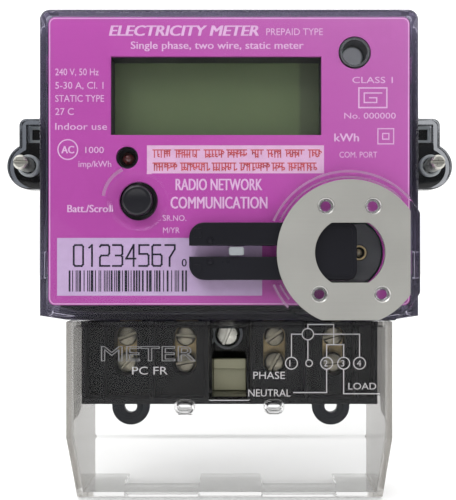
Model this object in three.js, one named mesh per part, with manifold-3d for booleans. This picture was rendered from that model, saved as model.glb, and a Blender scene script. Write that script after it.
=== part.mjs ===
// A wall-mounted single-phase prepaid electricity meter, as an assembly of separate parts.
// Millimetres, +Z up, front towards -Y. The origin is the centre of the back face of the meter case,
// on the wall. "Depth" below is the distance from the wall towards the viewer, so y = -depth.

import * as THREE from "three";
import { mergeVertices } from "three/addons/utils/BufferGeometryUtils.js";
import Module from "manifold-3d";

const wasm = await Module();
wasm.setup();

// ---------------------------------------------------------------- driving dimensions

const GAP = 0.3; // clearance between parts that rest on each other

const CASE = {
  halfWidth: 63.4,
  top: 51.7,
  bottom: -52.3, // lower edge between the shoulders
  shoulder: -50.9, // lower edge at the two outer corners
  shoulderHalf: 54.5,
  corner: 3.5,
};

const BASE = { wall: 2.5, ledgeInset: 4, ledgeBack: 26, rim: 30, tongueInset: 2.4, tongueTop: 33.5 };
const GASKET = { inset: 1, inner: 1.9 };
const COVER = { back: 31.8, front: 56, wall: 2, frontWall: 2.2, edge: 1.4 };
const EAR = {
  x: 70.9,
  z: 1,
  radius: 8.2,
  lugX: 74.8,
  lugTop: 18,
  back: 22,
  baseFront: 31.5,
  coverFront: 38.5,
  step: 1.2, // how far the base's ear is inside the cover's
};
const HOOK = { low: -38.2, high: -29.6, recess: 0.9, thickness: 0.6, front: 45.7 };
const PLATE = { halfWidth: 60.7, bottom: -47.4, top: 49.4, back: 51.7, front: 53.4, corner: 2.2 };
const WINDOW = { left: -39.8, right: 31, bottom: 9.8, top: 36.2 };
const BOARD = { halfWidth: 58.2, bottom: -46, top: 46, back: 32, front: 33.6 };
const BOARD_SCREWS = [
  [-53.5, 41],
  [53.5, 41],
  [-53.5, -41],
  [53.5, -41],
];

const BUTTON = { x: -30.5, z: -12.4, radius: 5.1, hole: 6.3, dish: 10.2, dishDepth: 0.8 };
const LED = { x: -34.3, z: 2.2, radius: 2.5, hole: 3.7 };
const TAMPER = { x: 42.2, z: 37.5, post: 5, pin: 3.5, hole: 5.4 };

const PORT = { x: 39.7, z: -29.8, radius: 24, flatRight: 19.7, flatDown: 22.1, eye: 11.5, eyeFlat: 9.8 };
const PORT_PLATE = { back: 60, front: 61.5 };
const PORT_STUDS = [
  [-7.9, 15.2],
  [7.5, 15.2],
  [-10, -13.6],
  [10.5, -13.6],
];
const EYE_PITCH = 4.1; // each infrared element's distance from the port's centre
const SHUTTER = { left: -13.1, right: 42.2, z: -29.3, halfHeight: 9.5, slot: 1.8, back: 56.3, front: 59.7 };

const TERMINAL_X = [-37.3, -16.1, 16.1, 37.3];
const TERMINAL = {
  depth: 21.4,
  half: 5.2,
  halfDepth: 5.4,
  bottom: -80,
  top: -55.5,
  bore: 3.75,
  entry: 4.6, // radius of the block's funnel below the bore
};
const TERMINAL_SCREW = {
  z: [-59.9, -69.4], // the upper and the lower row
  head: 3.6,
  shank: 2.15,
  thread: 2.45,
  access: 4.1,
};
const BLOCK = {
  halfWidth: 52,
  split: 9.3, // the seam between each side section and the bridge in the middle
  bottom: -82.9,
  top: -53,
  back: 2.8,
  face: 36,
  ribFront: 41.2,
  ribHalf: 0.7,
  ribX: [-51.3, -44.6, -27.3, -8.3, 8.3, 27.3, 44.6, 51.3],
  sill: 2.2,
};
const LUGS = { x: 39.9, z: -90.6, radius: 7.5, hole: 2.5, thickness: 2.5 };

const HOOD = {
  halfWidth: 55.7,
  top: -53.2,
  bottom: -118.6,
  bevelTop: -93,
  back: 4,
  front: 50,
  bevelBack: 31,
  wall: 2,
};
const POCKET = { half: 5.8, wall: 1.2, top: -54.4, bottom: -78.8, step: -70.7, deep: 26, shallow: 36 };
const HOOD_SCREW = { x: -0.9, z: -59.5, head: 4.2, shank: 1.7 };

// ---------------------------------------------------------------- materials

const material = (color, roughness, metalness = 0, opacity = 1) =>
  new THREE.MeshStandardMaterial({ color, roughness, metalness, opacity, transparent: opacity < 1 });

const MATERIALS = {
  clear: material(0xc9ced4, 0.08, 0, 0.3),
  slate: material(0x2b303a, 0.45),
  magenta: material(0xc155b0, 0.35),
  black: material(0x14151a, 0.4),
  graphite: material(0x3a3c40, 0.6),
  steel: material(0xb7b8b2, 0.35, 1),
  nickel: material(0x9c968a, 0.35, 1),
  brass: material(0xb79a58, 0.35, 1),
  copper: material(0xb8714a, 0.4, 1),
  rubber: material(0x111214, 0.85),
  board: material(0x1f5a3a, 0.5),
  glass: material(0x59644a, 0.12),
  white: material(0xd9d9d2, 0.5),
  redLens: material(0x3a0b0d, 0.15),
};

// ---------------------------------------------------------------- outlines in the X-Z plane

const point = (x, z) => new THREE.Vector2(x, z);

// Points on a circular arc, angles in degrees, anticlockwise when "to" is above "from".
function arc(x, z, radius, from, to, steps = 6) {
  return Array.from({ length: steps + 1 }, (_, i) => {
    const a = THREE.MathUtils.degToRad(from + ((to - from) * i) / steps);
    return point(x + radius * Math.cos(a), z + radius * Math.sin(a));
  });
}

const circle = (x, z, radius, steps = 24) => arc(x, z, radius, 0, 360, steps).slice(0, -1);

const rectangle = (x0, z0, x1, z1) => [point(x0, z0), point(x1, z0), point(x1, z1), point(x0, z1)];

const roundedRectangle = (x0, z0, x1, z1, r, steps = 4) => [
  ...arc(x0 + r, z0 + r, r, 180, 270, steps),
  ...arc(x1 - r, z0 + r, r, 270, 360, steps),
  ...arc(x1 - r, z1 - r, r, 0, 90, steps),
  ...arc(x0 + r, z1 - r, r, 90, 180, steps),
];

// A slot with round ends, running up from z0 to z1.
const slotOutline = (x, z0, z1, r, steps = 8) => [
  ...arc(x, z1, r, 0, 180, steps),
  ...arc(x, z0, r, 180, 360, steps),
];

// A slot with round ends, running across from x - reach to x + reach.
const slotAcross = (x, z, reach, r, steps = 8) => [
  ...arc(x + reach, z, r, -90, 90, steps),
  ...arc(x - reach, z, r, 90, 270, steps),
];

// A circle with its top and bottom cut flat.
function flattenedCircle(x, z, radius, flat) {
  const a = THREE.MathUtils.radToDeg(Math.asin(flat / radius));
  return [...arc(x, z, radius, -a, a, 8), ...arc(x, z, radius, 180 - a, 180 + a, 8)];
}

function caseOutline(inset) {
  const w = CASE.halfWidth - inset;
  const r = Math.max(CASE.corner - inset, 0.6);
  const top = CASE.top - inset;
  return [
    point(-CASE.shoulderHalf, CASE.bottom + inset),
    point(CASE.shoulderHalf, CASE.bottom + inset),
    point(w, CASE.shoulder + inset),
    ...arc(w - r, top - r, r, 0, 90, 5),
    ...arc(-w + r, top - r, r, 90, 180, 5),
    point(-w, CASE.shoulder + inset),
  ];
}

// One side ear: a rounded lug above a round screw boss. Side is 1 on the right and -1 on the left.
function earOutline(side, root = CASE.halfWidth - 1, inset = 0) {
  const [radius, lugX, lugTop] = [EAR.radius - inset, EAR.lugX - inset, EAR.lugTop - inset];
  const start = THREE.MathUtils.radToDeg(Math.acos((lugX - EAR.x) / radius));
  const right = [
    point(root, EAR.z - radius),
    ...arc(EAR.x, EAR.z, radius, -90, start, 12),
    ...arc(lugX - 2.5, lugTop - 2.5, 2.5, 0, 90, 4),
    point(root, lugTop),
  ];
  return side > 0 ? right : right.map((p) => point(-p.x, p.y)).reverse();
}

// ---------------------------------------------------------------- solids

// A slab of an outline between two depths, with holes.
function panel(outline, back, front, holes = []) {
  const shape = new THREE.Shape(outline);
  shape.holes = holes.map((hole) => new THREE.Path(hole));
  const geometry = new THREE.ExtrudeGeometry(shape, { depth: front - back, bevelEnabled: false });
  return geometry.translate(0, 0, back).rotateX(Math.PI / 2);
}

// A panel whose front and back edges are rounded by the given radius.
function softPanel(outline, back, front, radius, segments = 2) {
  const geometry = new THREE.ExtrudeGeometry(new THREE.Shape(outline), {
    depth: front - back - 2 * radius,
    bevelThickness: radius,
    bevelSize: radius,
    bevelOffset: -radius,
    bevelSegments: segments,
  });
  return geometry.translate(0, 0, back + radius).rotateX(Math.PI / 2);
}

const box = (x0, x1, z0, z1, back, front) => panel(rectangle(x0, z0, x1, z1), back, front);

// A round piece along the depth axis, from depth "back" to depth "front".
function pin(x, z, radius, back, front, frontRadius = radius, steps = 16) {
  const geometry = new THREE.CylinderGeometry(radius, frontRadius, front - back, steps);
  return geometry.translate(x, -(back + front) / 2, z);
}

// A round piece along Z.
function upright(x, depth, radius, z0, z1, steps = 20) {
  const geometry = new THREE.CylinderGeometry(radius, radius, z1 - z0, steps).rotateX(Math.PI / 2);
  return geometry.translate(x, -depth, (z0 + z1) / 2);
}

// A round piece along X.
function crosswise(z, depth, radius, x0, x1, steps = 20) {
  const geometry = new THREE.CylinderGeometry(radius, radius, x1 - x0, steps).rotateZ(Math.PI / 2);
  return geometry.translate((x0 + x1) / 2, -depth, z);
}

// A turned piece along the depth axis: profile points are [radius, depth], from back to front.
function turned(x, z, profile, steps = 18) {
  const points = profile.map(([radius, depth]) => point(radius, depth));
  return new THREE.LatheGeometry(points, steps).rotateX(Math.PI).translate(x, 0, z);
}

// A wire along a curve, with a polygonal section.
function wire(curve, radius, steps, sides = 4) {
  const section = new THREE.Shape(circle(0, 0, radius, sides));
  return new THREE.ExtrudeGeometry(section, { steps, extrudePath: curve, bevelEnabled: false });
}

class Helix extends THREE.Curve {
  constructor(radius, length, turns) {
    super();
    Object.assign(this, { radius, length, turns });
  }
  getPoint(t, target = new THREE.Vector3()) {
    const a = 2 * Math.PI * this.turns * t;
    return target.set(this.radius * Math.cos(a), this.length * t, this.radius * Math.sin(a));
  }
}

function solid(geometry) {
  const bare = geometry.index ? geometry.toNonIndexed() : geometry.clone();
  bare.deleteAttribute("normal");
  bare.deleteAttribute("uv");
  const merged = mergeVertices(bare, 1e-4);
  const mesh = new wasm.Mesh({
    numProp: 3,
    vertProperties: merged.attributes.position.array,
    triVerts: new Uint32Array(merged.index.array),
  });
  return new wasm.Manifold(mesh);
}

// Joins the geometries of "add" and cuts those of "cut" from them.
function carve(add, cut = []) {
  let made = solid(add[0]);
  for (const piece of add.slice(1)) made = made.add(solid(piece));
  for (const piece of cut) made = made.subtract(solid(piece));
  const { vertProperties, triVerts } = made.getMesh();
  const geometry = new THREE.BufferGeometry();
  geometry.setAttribute("position", new THREE.BufferAttribute(new Float32Array(vertProperties), 3));
  geometry.setIndex(new THREE.BufferAttribute(new Uint32Array(triVerts), 1));
  return geometry;
}

function part(name, geometry, finish) {
  const mesh = new THREE.Mesh(geometry, MATERIALS[finish]);
  mesh.name = name;
  return mesh;
}

// ---------------------------------------------------------------- case

const SIDES = [-1, 1];

function base() {
  const cavity = panel(caseOutline(BASE.wall), BASE.wall, BASE.ledgeBack);
  const mouth = panel(caseOutline(BASE.ledgeInset), BASE.ledgeBack - 1, BASE.tongueTop + 1);
  const tongue = panel(caseOutline(BASE.tongueInset), BASE.rim - 1, BASE.tongueTop);
  const backPlate = box(-52.4, 52.4, BLOCK.bottom, CASE.bottom + 1, 0, BASE.wall);
  const lugs = SIDES.map((s) => {
    const x = s * LUGS.x;
    const round = arc(x, LUGS.z, LUGS.radius, 180, 360, 16);
    const corners = [x + LUGS.radius, x - LUGS.radius].map((edge) => point(edge, BLOCK.bottom + 1));
    return panel([...round, ...corners], 0, LUGS.thickness);
  });
  const ears = SIDES.flatMap((s) => [
    panel(earOutline(s, CASE.halfWidth - 1, EAR.step), EAR.back, BASE.rim),
    panel(earOutline(s, CASE.halfWidth + 0.2, EAR.step), BASE.rim - 1, EAR.baseFront),
  ]);
  const hooks = SIDES.map((s) => {
    const [near, far] = [s * (CASE.halfWidth - HOOK.thickness), s * CASE.halfWidth];
    return box(Math.min(near, far), Math.max(near, far), HOOK.low, HOOK.high, BASE.rim - 1, HOOK.front);
  });
  const posts = BOARD_SCREWS.map(([x, z]) => pin(x, z, 3.5, BASE.wall - 0.5, BOARD.back - GAP));
  const hangerBlock = box(-8, 8, 26, 49.5, BASE.wall - 0.5, 9.5);
  const keyhole = [pin(0, 33, 5, -1, 4), panel(slotOutline(0, 33, 42, 2.7), -1, 4)];
  const keyholeChamber = panel(slotOutline(0, 33, 42, 5.4), BASE.wall, 7.5);
  const lugHoles = SIDES.map((s) => pin(s * LUGS.x, LUGS.z, LUGS.hole, -1, 4));
  const nutSeats = SIDES.flatMap((s) => [
    pin(s * EAR.x, EAR.z, 3.3, EAR.back - 1, 28.2),
    pin(s * EAR.x, EAR.z, 2.2, 28, EAR.baseFront + 1),
  ]);
  const screwHoles = BOARD_SCREWS.map(([x, z]) => pin(x, z, 1.3, 22, BOARD.back + 1, 1.3, 8));
  const tailSlots = TERMINAL_X.map((x) => box(x - 4.6, x + 4.6, CASE.bottom - 1, CASE.bottom + 5, 19.8, 23));
  const body = panel(caseOutline(0), 0, BASE.rim);
  const shell = carve([body, tongue, backPlate, ...lugs, ...ears], [cavity, mouth]);
  const holes = [...keyhole, keyholeChamber, ...lugHoles, ...nutSeats, ...screwHoles, ...tailSlots];
  return part("base_tray", carve([shell, ...posts, ...hooks, hangerBlock], holes), "slate");
}

function gasket() {
  const ring = panel(caseOutline(GASKET.inset), 30.2, 31.6, [caseOutline(GASKET.inner)]);
  return part("case_gasket", ring, "rubber");
}

function mainCover() {
  const outer = softPanel(caseOutline(0), 44, COVER.front, COVER.edge, 2);
  const skirt = panel(caseOutline(0), COVER.back, 50);
  const cavity = panel(caseOutline(COVER.wall), COVER.back - 1, COVER.front - COVER.frontWall);

  const platform = carve(
    [softPanel(circle(PORT.x, PORT.z, 27.3, 40), 54.6, 57.6, 0.7, 1)],
    [box(CASE.halfWidth, 100, -100, 100, 50, 60), box(0, 100, -100, CASE.bottom, 50, 60)],
  );
  const railHalf = SHUTTER.halfHeight + GAP;
  const [railLow, railHigh] = [SHUTTER.z - railHalf, SHUTTER.z + railHalf];
  const seat = PORT_PLATE.back - 0.1; // where the rails and studs meet the port plate
  const channel = box(0, PORT.x + 13.2, railLow, railHigh, COVER.front, 58);
  const railBars = [
    box(PORT.x - 20, PORT.x + 18, railHigh, railHigh + 1.6, 57, seat),
    box(PORT.x - 19, PORT.x + 18, railLow - 1.6, railLow, 57, seat),
    box(PORT.x + 14.5, PORT.x + 16.5, railLow, railHigh, 55, seat),
  ];
  const studs = PORT_STUDS.flatMap(([dx, dz]) => {
    const [x, z] = [PORT.x + dx, PORT.z + dz];
    return [
      pin(x, z, 2.6, 55, seat, 2.6, 14),
      pin(x, z, 1.35, 59, 61, 1.35, 12),
      pin(x, z, 1.35, 60.7, PORT_PLATE.front, 2.3, 12),
    ];
  });
  const guidePeg = roundedRectangle(0, SHUTTER.z - 1.4, 5, SHUTTER.z + 1.4, 0.8, 3);
  const guide = panel(guidePeg, COVER.front - 1, 60.2);

  const tamperPost = [
    pin(TAMPER.x, TAMPER.z, TAMPER.post, 45.5, COVER.front - 1, TAMPER.post, 24),
    pin(TAMPER.x, TAMPER.z, TAMPER.pin, 40.3, 46),
  ];
  const ears = SIDES.flatMap((s) => [
    panel(earOutline(s), COVER.back, EAR.coverFront),
    pin(s * EAR.x, EAR.z, 3.9, EAR.coverFront - 1, 41),
  ]);
  const earCuts = SIDES.flatMap((s) => {
    const [near, far] = [s * 65.6, s * 72.2];
    return [
      pin(s * EAR.x, EAR.z, 2.1, COVER.back - 1, 42),
      box(Math.min(near, far), Math.max(near, far), 9.4, 15.8, 34.8, EAR.coverFront + 1),
    ];
  });
  const hookRecesses = SIDES.map((s) => {
    const [near, far] = [s * (CASE.halfWidth - HOOK.recess), s * (CASE.halfWidth + 1)];
    const [low, high] = [HOOK.low - GAP, HOOK.high + GAP];
    return box(Math.min(near, far), Math.max(near, far), low, high, COVER.back - 1, HOOK.front + GAP);
  });
  const { x, z, dish, dishDepth, hole } = BUTTON;
  const buttonCuts = [
    pin(x, z, dish - 1.4, COVER.front - dishDepth, COVER.front + 0.2, dish, 36),
    pin(x, z, hole, COVER.front - 4, COVER.front + 1, hole, 28),
  ];
  const shell = carve([outer, skirt, platform, ...ears], [cavity, channel]);
  const fittings = [...railBars, ...studs, guide, ...tamperPost];
  const cuts = [...earCuts, ...hookRecesses, ...buttonCuts];
  return part("main_cover", carve([shell, ...fittings], cuts), "clear");
}

function sealScrews() {
  return SIDES.flatMap((s) => {
    const side = s > 0 ? "right" : "left";
    const profile = [[0, 22.5], [1.75, 22.5], [1.75, 41.3], [2.5, 41.3], [2.5, 51.4], [2, 52], [0, 52]];
    const body = turned(s * EAR.x, EAR.z, profile, 16);
    const slot = box(s * EAR.x - 3, s * EAR.x + 3, EAR.z - 0.45, EAR.z + 0.45, 50.8, 53);
    const sealHole = crosswise(EAR.z, 48, 0.7, s * EAR.x - 4, s * EAR.x + 4, 8);
    const nut = panel(circle(s * EAR.x, EAR.z, 3, 6), 21, 27.8, [circle(s * EAR.x, EAR.z, 2.05, 16)]);
    return [
      part(`seal_screw_${side}`, carve([body], [slot, sealHole]), "nickel"),
      part(`seal_nut_${side}`, nut, "brass"),
    ];
  });
}

// ---------------------------------------------------------------- front panel and display

function namePlate() {
  const holes = [
    rectangle(WINDOW.left, WINDOW.bottom, WINDOW.right, WINDOW.top),
    circle(LED.x, LED.z, LED.hole, 20),
    circle(BUTTON.x, BUTTON.z, BUTTON.hole + 0.2, 24),
    circle(TAMPER.x, TAMPER.z, TAMPER.hole, 24),
    flattenedCircle(PORT.x, PORT.z, PORT.eye + 0.6, PORT.eyeFlat + 0.6),
  ];
  const { halfWidth, bottom, top, back, front, corner } = PLATE;
  const face = panel(roundedRectangle(-halfWidth, bottom, halfWidth, top, corner), back, front, holes);
  const legs = SIDES.flatMap((s) =>
    [34, -33].map((z) => {
      const [near, far] = [s * 58.8, s * (halfWidth - 0.1)];
      return box(Math.min(near, far), Math.max(near, far), z - 4, z + 4, BASE.tongueTop + GAP, back + 0.5);
    }),
  );
  return part("name_plate", carve([face, ...legs]), "magenta");
}

function display() {
  const [x0, x1, z0, z1] = [WINDOW.left - 3.6, WINDOW.right + 3.6, WINDOW.bottom - 3.6, WINDOW.top + 3.6];
  const panelBack = 41.2;
  const panelFront = 43;
  const tray = carve(
    [box(x0, x1, z0, z1, BOARD.front + GAP, panelFront)],
    [
      box(x0 + 1.5, x1 - 1.5, z0 + 1.5, z1 - 1.5, panelBack - 0.2, panelFront + 1),
      box(x0 + 3, x1 - 3, z0 + 3, z1 - 3, 30, 36.5),
    ],
  );
  const glass = box(x0 + 1.8, x1 - 1.8, z0 + 1.8, z1 - 1.8, panelBack, panelFront);
  const opening = rectangle(WINDOW.left, WINDOW.bottom, WINDOW.right, WINDOW.top);
  const bezel = panel(rectangle(x0, z0, x1, z1), panelFront + 0.2, PLATE.back - 0.2, [opening]);
  const pins = Array.from({ length: 8 }, (_, i) => x0 + 18 + 6 * i).map((x) =>
    box(x, x + 1, z0 - 2.6, z0 - 1.6, 33.8, 41),
  );
  const pinBar = box(x0 + 16, x0 + 63, z0 - 3, z0 - 0.3, 36, 38);
  return [
    part("lcd_backlight", tray, "white"),
    part("lcd_panel", glass, "glass"),
    part("lcd_bezel", bezel, "black"),
    part("lcd_pin_row", carve([pinBar, ...pins]), "nickel"),
  ];
}

// ---------------------------------------------------------------- button and indicator

function scrollButton() {
  const { x, z, radius } = BUTTON;
  const cap = turned(x, z, [
    [0, 41.3],
    [1.6, 41.3],
    [1.6, 49.9],
    [7.4, 49.9],
    [7.4, 51.3],
    [radius, 51.3],
    [radius, 56.6],
    [radius - 0.7, 57.4],
    [radius - 2.2, 57.7],
    [0, 57.8],
  ], 24);
  const coil = wire(new Helix(5.6, 13.4, 4.5), 0.4, 54);
  coil.rotateZ(Math.PI).translate(x, -34.3, z);
  const key = carve([box(x - 3.1, x + 3.1, z - 3.1, z + 3.1, 33.8, 37.6), pin(x, z, 1.7, 37.5, 39.5)]);
  return [
    part("scroll_button", cap, "black"),
    part("button_spring", coil, "nickel"),
    part("tact_switch", key, "graphite"),
  ];
}

function pulseLamp() {
  const { x, z, radius } = LED;
  const lamp = turned(x, z, [
    [0, 44],
    [2.9, 44],
    [2.9, 45],
    [radius, 45],
    [radius, 48.8],
    [1.9, 50.4],
    [0.9, 51.1],
    [0, 51.2],
  ], 16);
  const sleeve = carve(
    [panel(circle(x, z, 3.45, 24), 33.8, 52.9)],
    [pin(x, z, 1.6, 33, 44, 1.6, 12), pin(x, z, 3.1, 43.7, 54, 3.1, 24)],
  );
  return [part("pulse_lamp", lamp, "redLens"), part("lamp_sleeve", sleeve, "black")];
}

// ---------------------------------------------------------------- optical port

function opticalPort() {
  const { x, z, radius, flatRight, flatDown, eye, eyeFlat } = PORT;
  const plate = carve(
    [panel(circle(x, z, radius, 56), PORT_PLATE.back, PORT_PLATE.front)],
    [
      panel(flattenedCircle(x, z, eye, eyeFlat), 59, 63),
      box(x + flatRight, x + 40, z - 40, z + 40, 59, 63),
      box(x - 40, x + 40, z - 40, z - flatDown, 59, 63),
      ...PORT_STUDS.flatMap(([dx, dz]) => [
        pin(x + dx, z + dz, 1.65, 59, 63, 1.65, 12),
        pin(x + dx, z + dz, 1.65, 60.4, PORT_PLATE.front + 0.1, 2.8, 12),
      ]),
    ],
  );
  const holder = carve(
    [panel(flattenedCircle(x, z, eye + 0.1, eyeFlat + 0.1), 33.9, 52.9)],
    SIDES.flatMap((s) => [
      pin(x + s * EYE_PITCH, z, 1.8, 30, 54, 1.8, 14),
      pin(x + s * EYE_PITCH, z, 1.8, 51.9, 53, 2.9, 14),
    ]),
  );
  const element = (name, s, finish) => {
    const profile = [[0, 34.5], [1.5, 34.5], [1.5, 49.6], [1.1, 50.6], [0.5, 51], [0, 51.1]];
    return part(name, turned(x + s * EYE_PITCH, z, profile, 12), finish);
  };
  return [
    part("port_plate", plate, "steel"),
    part("port_holder", holder, "graphite"),
    element("infrared_emitter", -1, "white"),
    element("infrared_receiver", 1, "redLens"),
  ];
}

// The fork-shaped shutter that slides sideways behind the port plate.
function portShutter() {
  const { left, right, z, halfHeight, slot, back, front } = SHUTTER;
  const top = z + halfHeight;
  const bottom = z - halfHeight;
  const slotEnd = 20;
  const outline = [
    ...arc(left + 5, bottom + 5, 5, 180, 270, 6),
    ...arc(right - 3, bottom + 3, 3, 270, 360, 5),
    ...arc(right - 3, top - 3, 3, 0, 90, 5),
    ...arc(left + 5, top - 5, 5, 90, 180, 6),
    point(left, z + slot),
    ...arc(slotEnd, z, slot, 90, -90, 8),
    point(left, z - slot),
  ];
  const body = softPanel(outline, back, front, 0.5, 1);
  const grips = [-1, 1].map((s) => pin(left + 7, z + s * (slot + 2.4), 0.9, front - 0.4, front + 1, 1.3, 14));
  return part("port_shutter", carve([body], grips), "black");
}

// ---------------------------------------------------------------- electronics

function mainBoard() {
  const { halfWidth, bottom, top, back, front } = BOARD;
  const holes = BOARD_SCREWS.map(([x, z]) => circle(x, z, 1.6, 10));
  const outline = roundedRectangle(-halfWidth, bottom, halfWidth, top, 3);
  return part("main_board", panel(outline, back, front, holes), "board");
}

function boardScrews() {
  const profile = [[0, 24], [1, 24], [1, 33.9], [2.8, 33.9], [2.8, 35.2], [2, 36], [0, 36]];
  return BOARD_SCREWS.map(([x, z], i) => {
    const body = turned(x, z, profile, 12);
    const slot = box(x - 1.8, x + 1.8, z - 0.35, z + 0.35, 35.2, 37);
    return part(`board_screw_${i + 1}`, carve([body], [slot]), "nickel");
  });
}

function tamperSwitch() {
  const { x, z } = TAMPER;
  const body = box(x - 4, x + 4, z - 3, z + 3, 33.9, 38.2);
  return part("cover_switch", carve([body, pin(x, z, 1.3, 38, 40, 1.3, 12)]), "graphite");
}

function radioModule() {
  const card = carve([
    box(35, 55, -4, 21, 35, 35.8),
    ...[-3, 19].flatMap((z) => [36, 53].map((x) => box(x, x + 1, z, z + 1, 33.8, 35.2))),
  ]);
  const can = softPanel(roundedRectangle(38, 1, 52, 16, 1), 36, 38.6, 0.3, 1);
  const coil = wire(new Helix(2.2, 15, 5), 0.45, 50);
  coil.rotateZ(-Math.PI / 2).translate(37, -36.6, 26);
  return [
    part("radio_board", card, "board"),
    part("radio_shield", can, "steel"),
    part("radio_antenna", coil, "copper"),
  ];
}

function boardParts() {
  const chip = softPanel(rectangle(-6, -18, 6, -6), 33.9, 35.3, 0.25, 1);
  const cradle = carve(
    [box(-47, -20, -46, -30, 33.9, 39)],
    [crosswise(-38, 42.4, 7.5, -45.8, -21.2, 24)],
  );
  const cellTip = crosswise(-38, 42.4, 2.6, -22, -21.3, 10);
  const cell = carve([crosswise(-38, 42.4, 7.2, -45.5, -21.9, 20), cellTip]);
  const filmCapacitor = softPanel(rectangle(-48, 12, -22, 24), 14, BOARD.back - GAP, 0.6, 1);
  const canProfile = [
    [0, 11.5],
    [5.9, 11.5],
    [6.3, 12],
    [6.3, 29.8],
    [5.9, 30.2],
    [6.3, 30.8],
    [6.3, 31.7],
    [0, 31.7],
  ];
  const electrolytic = turned(-8, 16, canProfile, 18);
  const varistor = crosswise(18, 24.4, 7, 8, 12.2, 24);
  return [
    part("processor_chip", chip, "black"),
    part("battery_cradle", cradle, "black"),
    part("backup_battery", cell, "white"),
    part("film_capacitor", filmCapacitor, "graphite"),
    part("bulk_capacitor", electrolytic, "black"),
    part("surge_varistor", varistor, "copper"),
  ];
}

// ---------------------------------------------------------------- power path

function powerPath() {
  const strip = 2;
  const stripBack = TERMINAL.depth + 1 + GAP;
  const relayBody = box(6, 42, -41, -8, 2.8, 20.4);
  const relayTabs = [10, 34].map((x) => box(x, x + 7, -37, -31, 20, stripBack - GAP));
  const shuntOutline = [
    point(-41.5, -47),
    point(-33, -47),
    point(-33, -38),
    point(-28, -38),
    point(-28, -36.5),
    point(-16, -36.5),
    point(-16, -38),
    point(17, -38),
    point(17, -30),
    point(-16, -30),
    point(-16, -31.5),
    point(-28, -31.5),
    point(-28, -30),
    point(-41.5, -30),
  ];
  return [
    part("latching_relay", carve([relayBody, ...relayTabs]), "graphite"),
    part("current_shunt", panel(shuntOutline, stripBack, stripBack + strip), "copper"),
    part("neutral_link", box(-20.4, 20.4, -47, -42, stripBack, stripBack + strip), "brass"),
    part("relay_strip", box(33, 41.5, -47, -30, stripBack, stripBack + strip), "brass"),
  ];
}

// One section of the block between two X positions, with whatever ribs, tunnels and wells lie in it.
function blockSection(name, x0, x1, extraCuts = []) {
  const { bottom, top, back, face, ribFront, ribX, ribHalf, sill } = BLOCK;
  const { depth, entry } = TERMINAL;
  const [upperZ, lowerZ] = TERMINAL_SCREW.z;
  const [seatHalf, seatHalfDepth] = [TERMINAL.half + GAP, TERMINAL.halfDepth + GAP];
  const seatBottom = TERMINAL.bottom - GAP;
  const inside = (x) => x > x0 && x < x1;
  const rib = (x) => box(x - ribHalf, x + ribHalf, bottom, top, face - 1, ribFront);
  const ribs = ribX.filter(inside).map(rib);
  const cuts = TERMINAL_X.filter(inside).flatMap((x) => [
    box(x - seatHalf, x + seatHalf, seatBottom, top + 1, depth - seatHalfDepth, depth + seatHalfDepth),
    upright(x, depth, entry, bottom - 1, seatBottom + 1, 20),
    panel(slotOutline(x, lowerZ, upperZ, TERMINAL_SCREW.access), depth, face + 1),
  ]);
  const front = box(x0, x1, bottom, bottom + sill, face - 1, ribFront);
  const body = [box(x0, x1, bottom, top, back, face), front];
  return part(name, carve([...body, ...ribs], [...cuts, ...extraCuts]), "black");
}

function terminalBlock() {
  const { halfWidth, top, back, ribFront, split } = BLOCK;
  const { x, z } = HOOD_SCREW;
  const channel = box(-7.6, 7.6, -80.6, top + 1, 22, ribFront + 1);
  const insertSeat = [
    pin(x, z, 3.6, back - 1, 20.4, 3.6, 24),
    pin(x, z, 2.2, 20, 23, 2.2, 16),
  ];
  const insert = panel(circle(x, z, 3.3, 24), 10, 20.1, [circle(x, z, 2, 16)]);
  return [
    blockSection("terminal_block_left", -halfWidth, -split - GAP / 2),
    blockSection("terminal_bridge", -split + GAP / 2, split - GAP / 2, [channel, ...insertSeat]),
    blockSection("terminal_block_right", split + GAP / 2, halfWidth),
    part("hood_screw_insert", insert, "brass"),
  ];
}

// A slotted cheese-head screw on the depth axis, built about x = z = 0 and turned to "angle" degrees.
function slottedScrew(name, head, shank, tip, seat, headHeight, angle) {
  const top = seat + headHeight;
  const body = turned(0, 0, [
    [0, tip],
    [shank, tip],
    [shank, seat],
    [head, seat],
    [head, top - 0.5],
    [head - 0.5, top],
    [0, top],
  ], 16);
  const slot = box(-head - 1, head + 1, -0.5, 0.5, top - 1.3, top + 1);
  const mesh = part(name, carve([body], [slot]), "nickel");
  mesh.rotation.y = THREE.MathUtils.degToRad(angle);
  return mesh;
}

function terminals() {
  const { depth, half, halfDepth, bottom, top, bore } = TERMINAL;
  const { z: rows, head, shank, thread } = TERMINAL_SCREW;
  const slotAngles = [
    [-20, -50],
    [5, -10],
    [-35, -60],
    [-15, -5],
  ];
  return TERMINAL_X.map((x, i) => {
    const group = new THREE.Group();
    group.position.x = x;
    const body = box(-half, half, bottom, top, depth - halfDepth, depth + halfDepth);
    const tail = box(-4, 4, top - 1, -44.5, depth - 1, depth + 1);
    const cableBore = upright(0, depth, bore, bottom - 1, -57.5, 20);
    const screwHoles = rows.map((z) => pin(0, z, thread, depth, 30, thread, 14));
    group.add(part(`terminal_${i + 1}`, carve([body, tail], [cableBore, ...screwHoles]), "brass"));
    rows.forEach((z, row) => {
      const name = `terminal_screw_${i + 1}${"ab"[row]}`;
      const [tip, seat] = [23.2 + row, 29.4 + row];
      const screw = slottedScrew(name, head, shank, tip, seat, 2.6, slotAngles[i][row]);
      screw.position.z = z;
      group.add(screw);
    });
    return group;
  });
}

// ---------------------------------------------------------------- terminal cover

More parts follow.
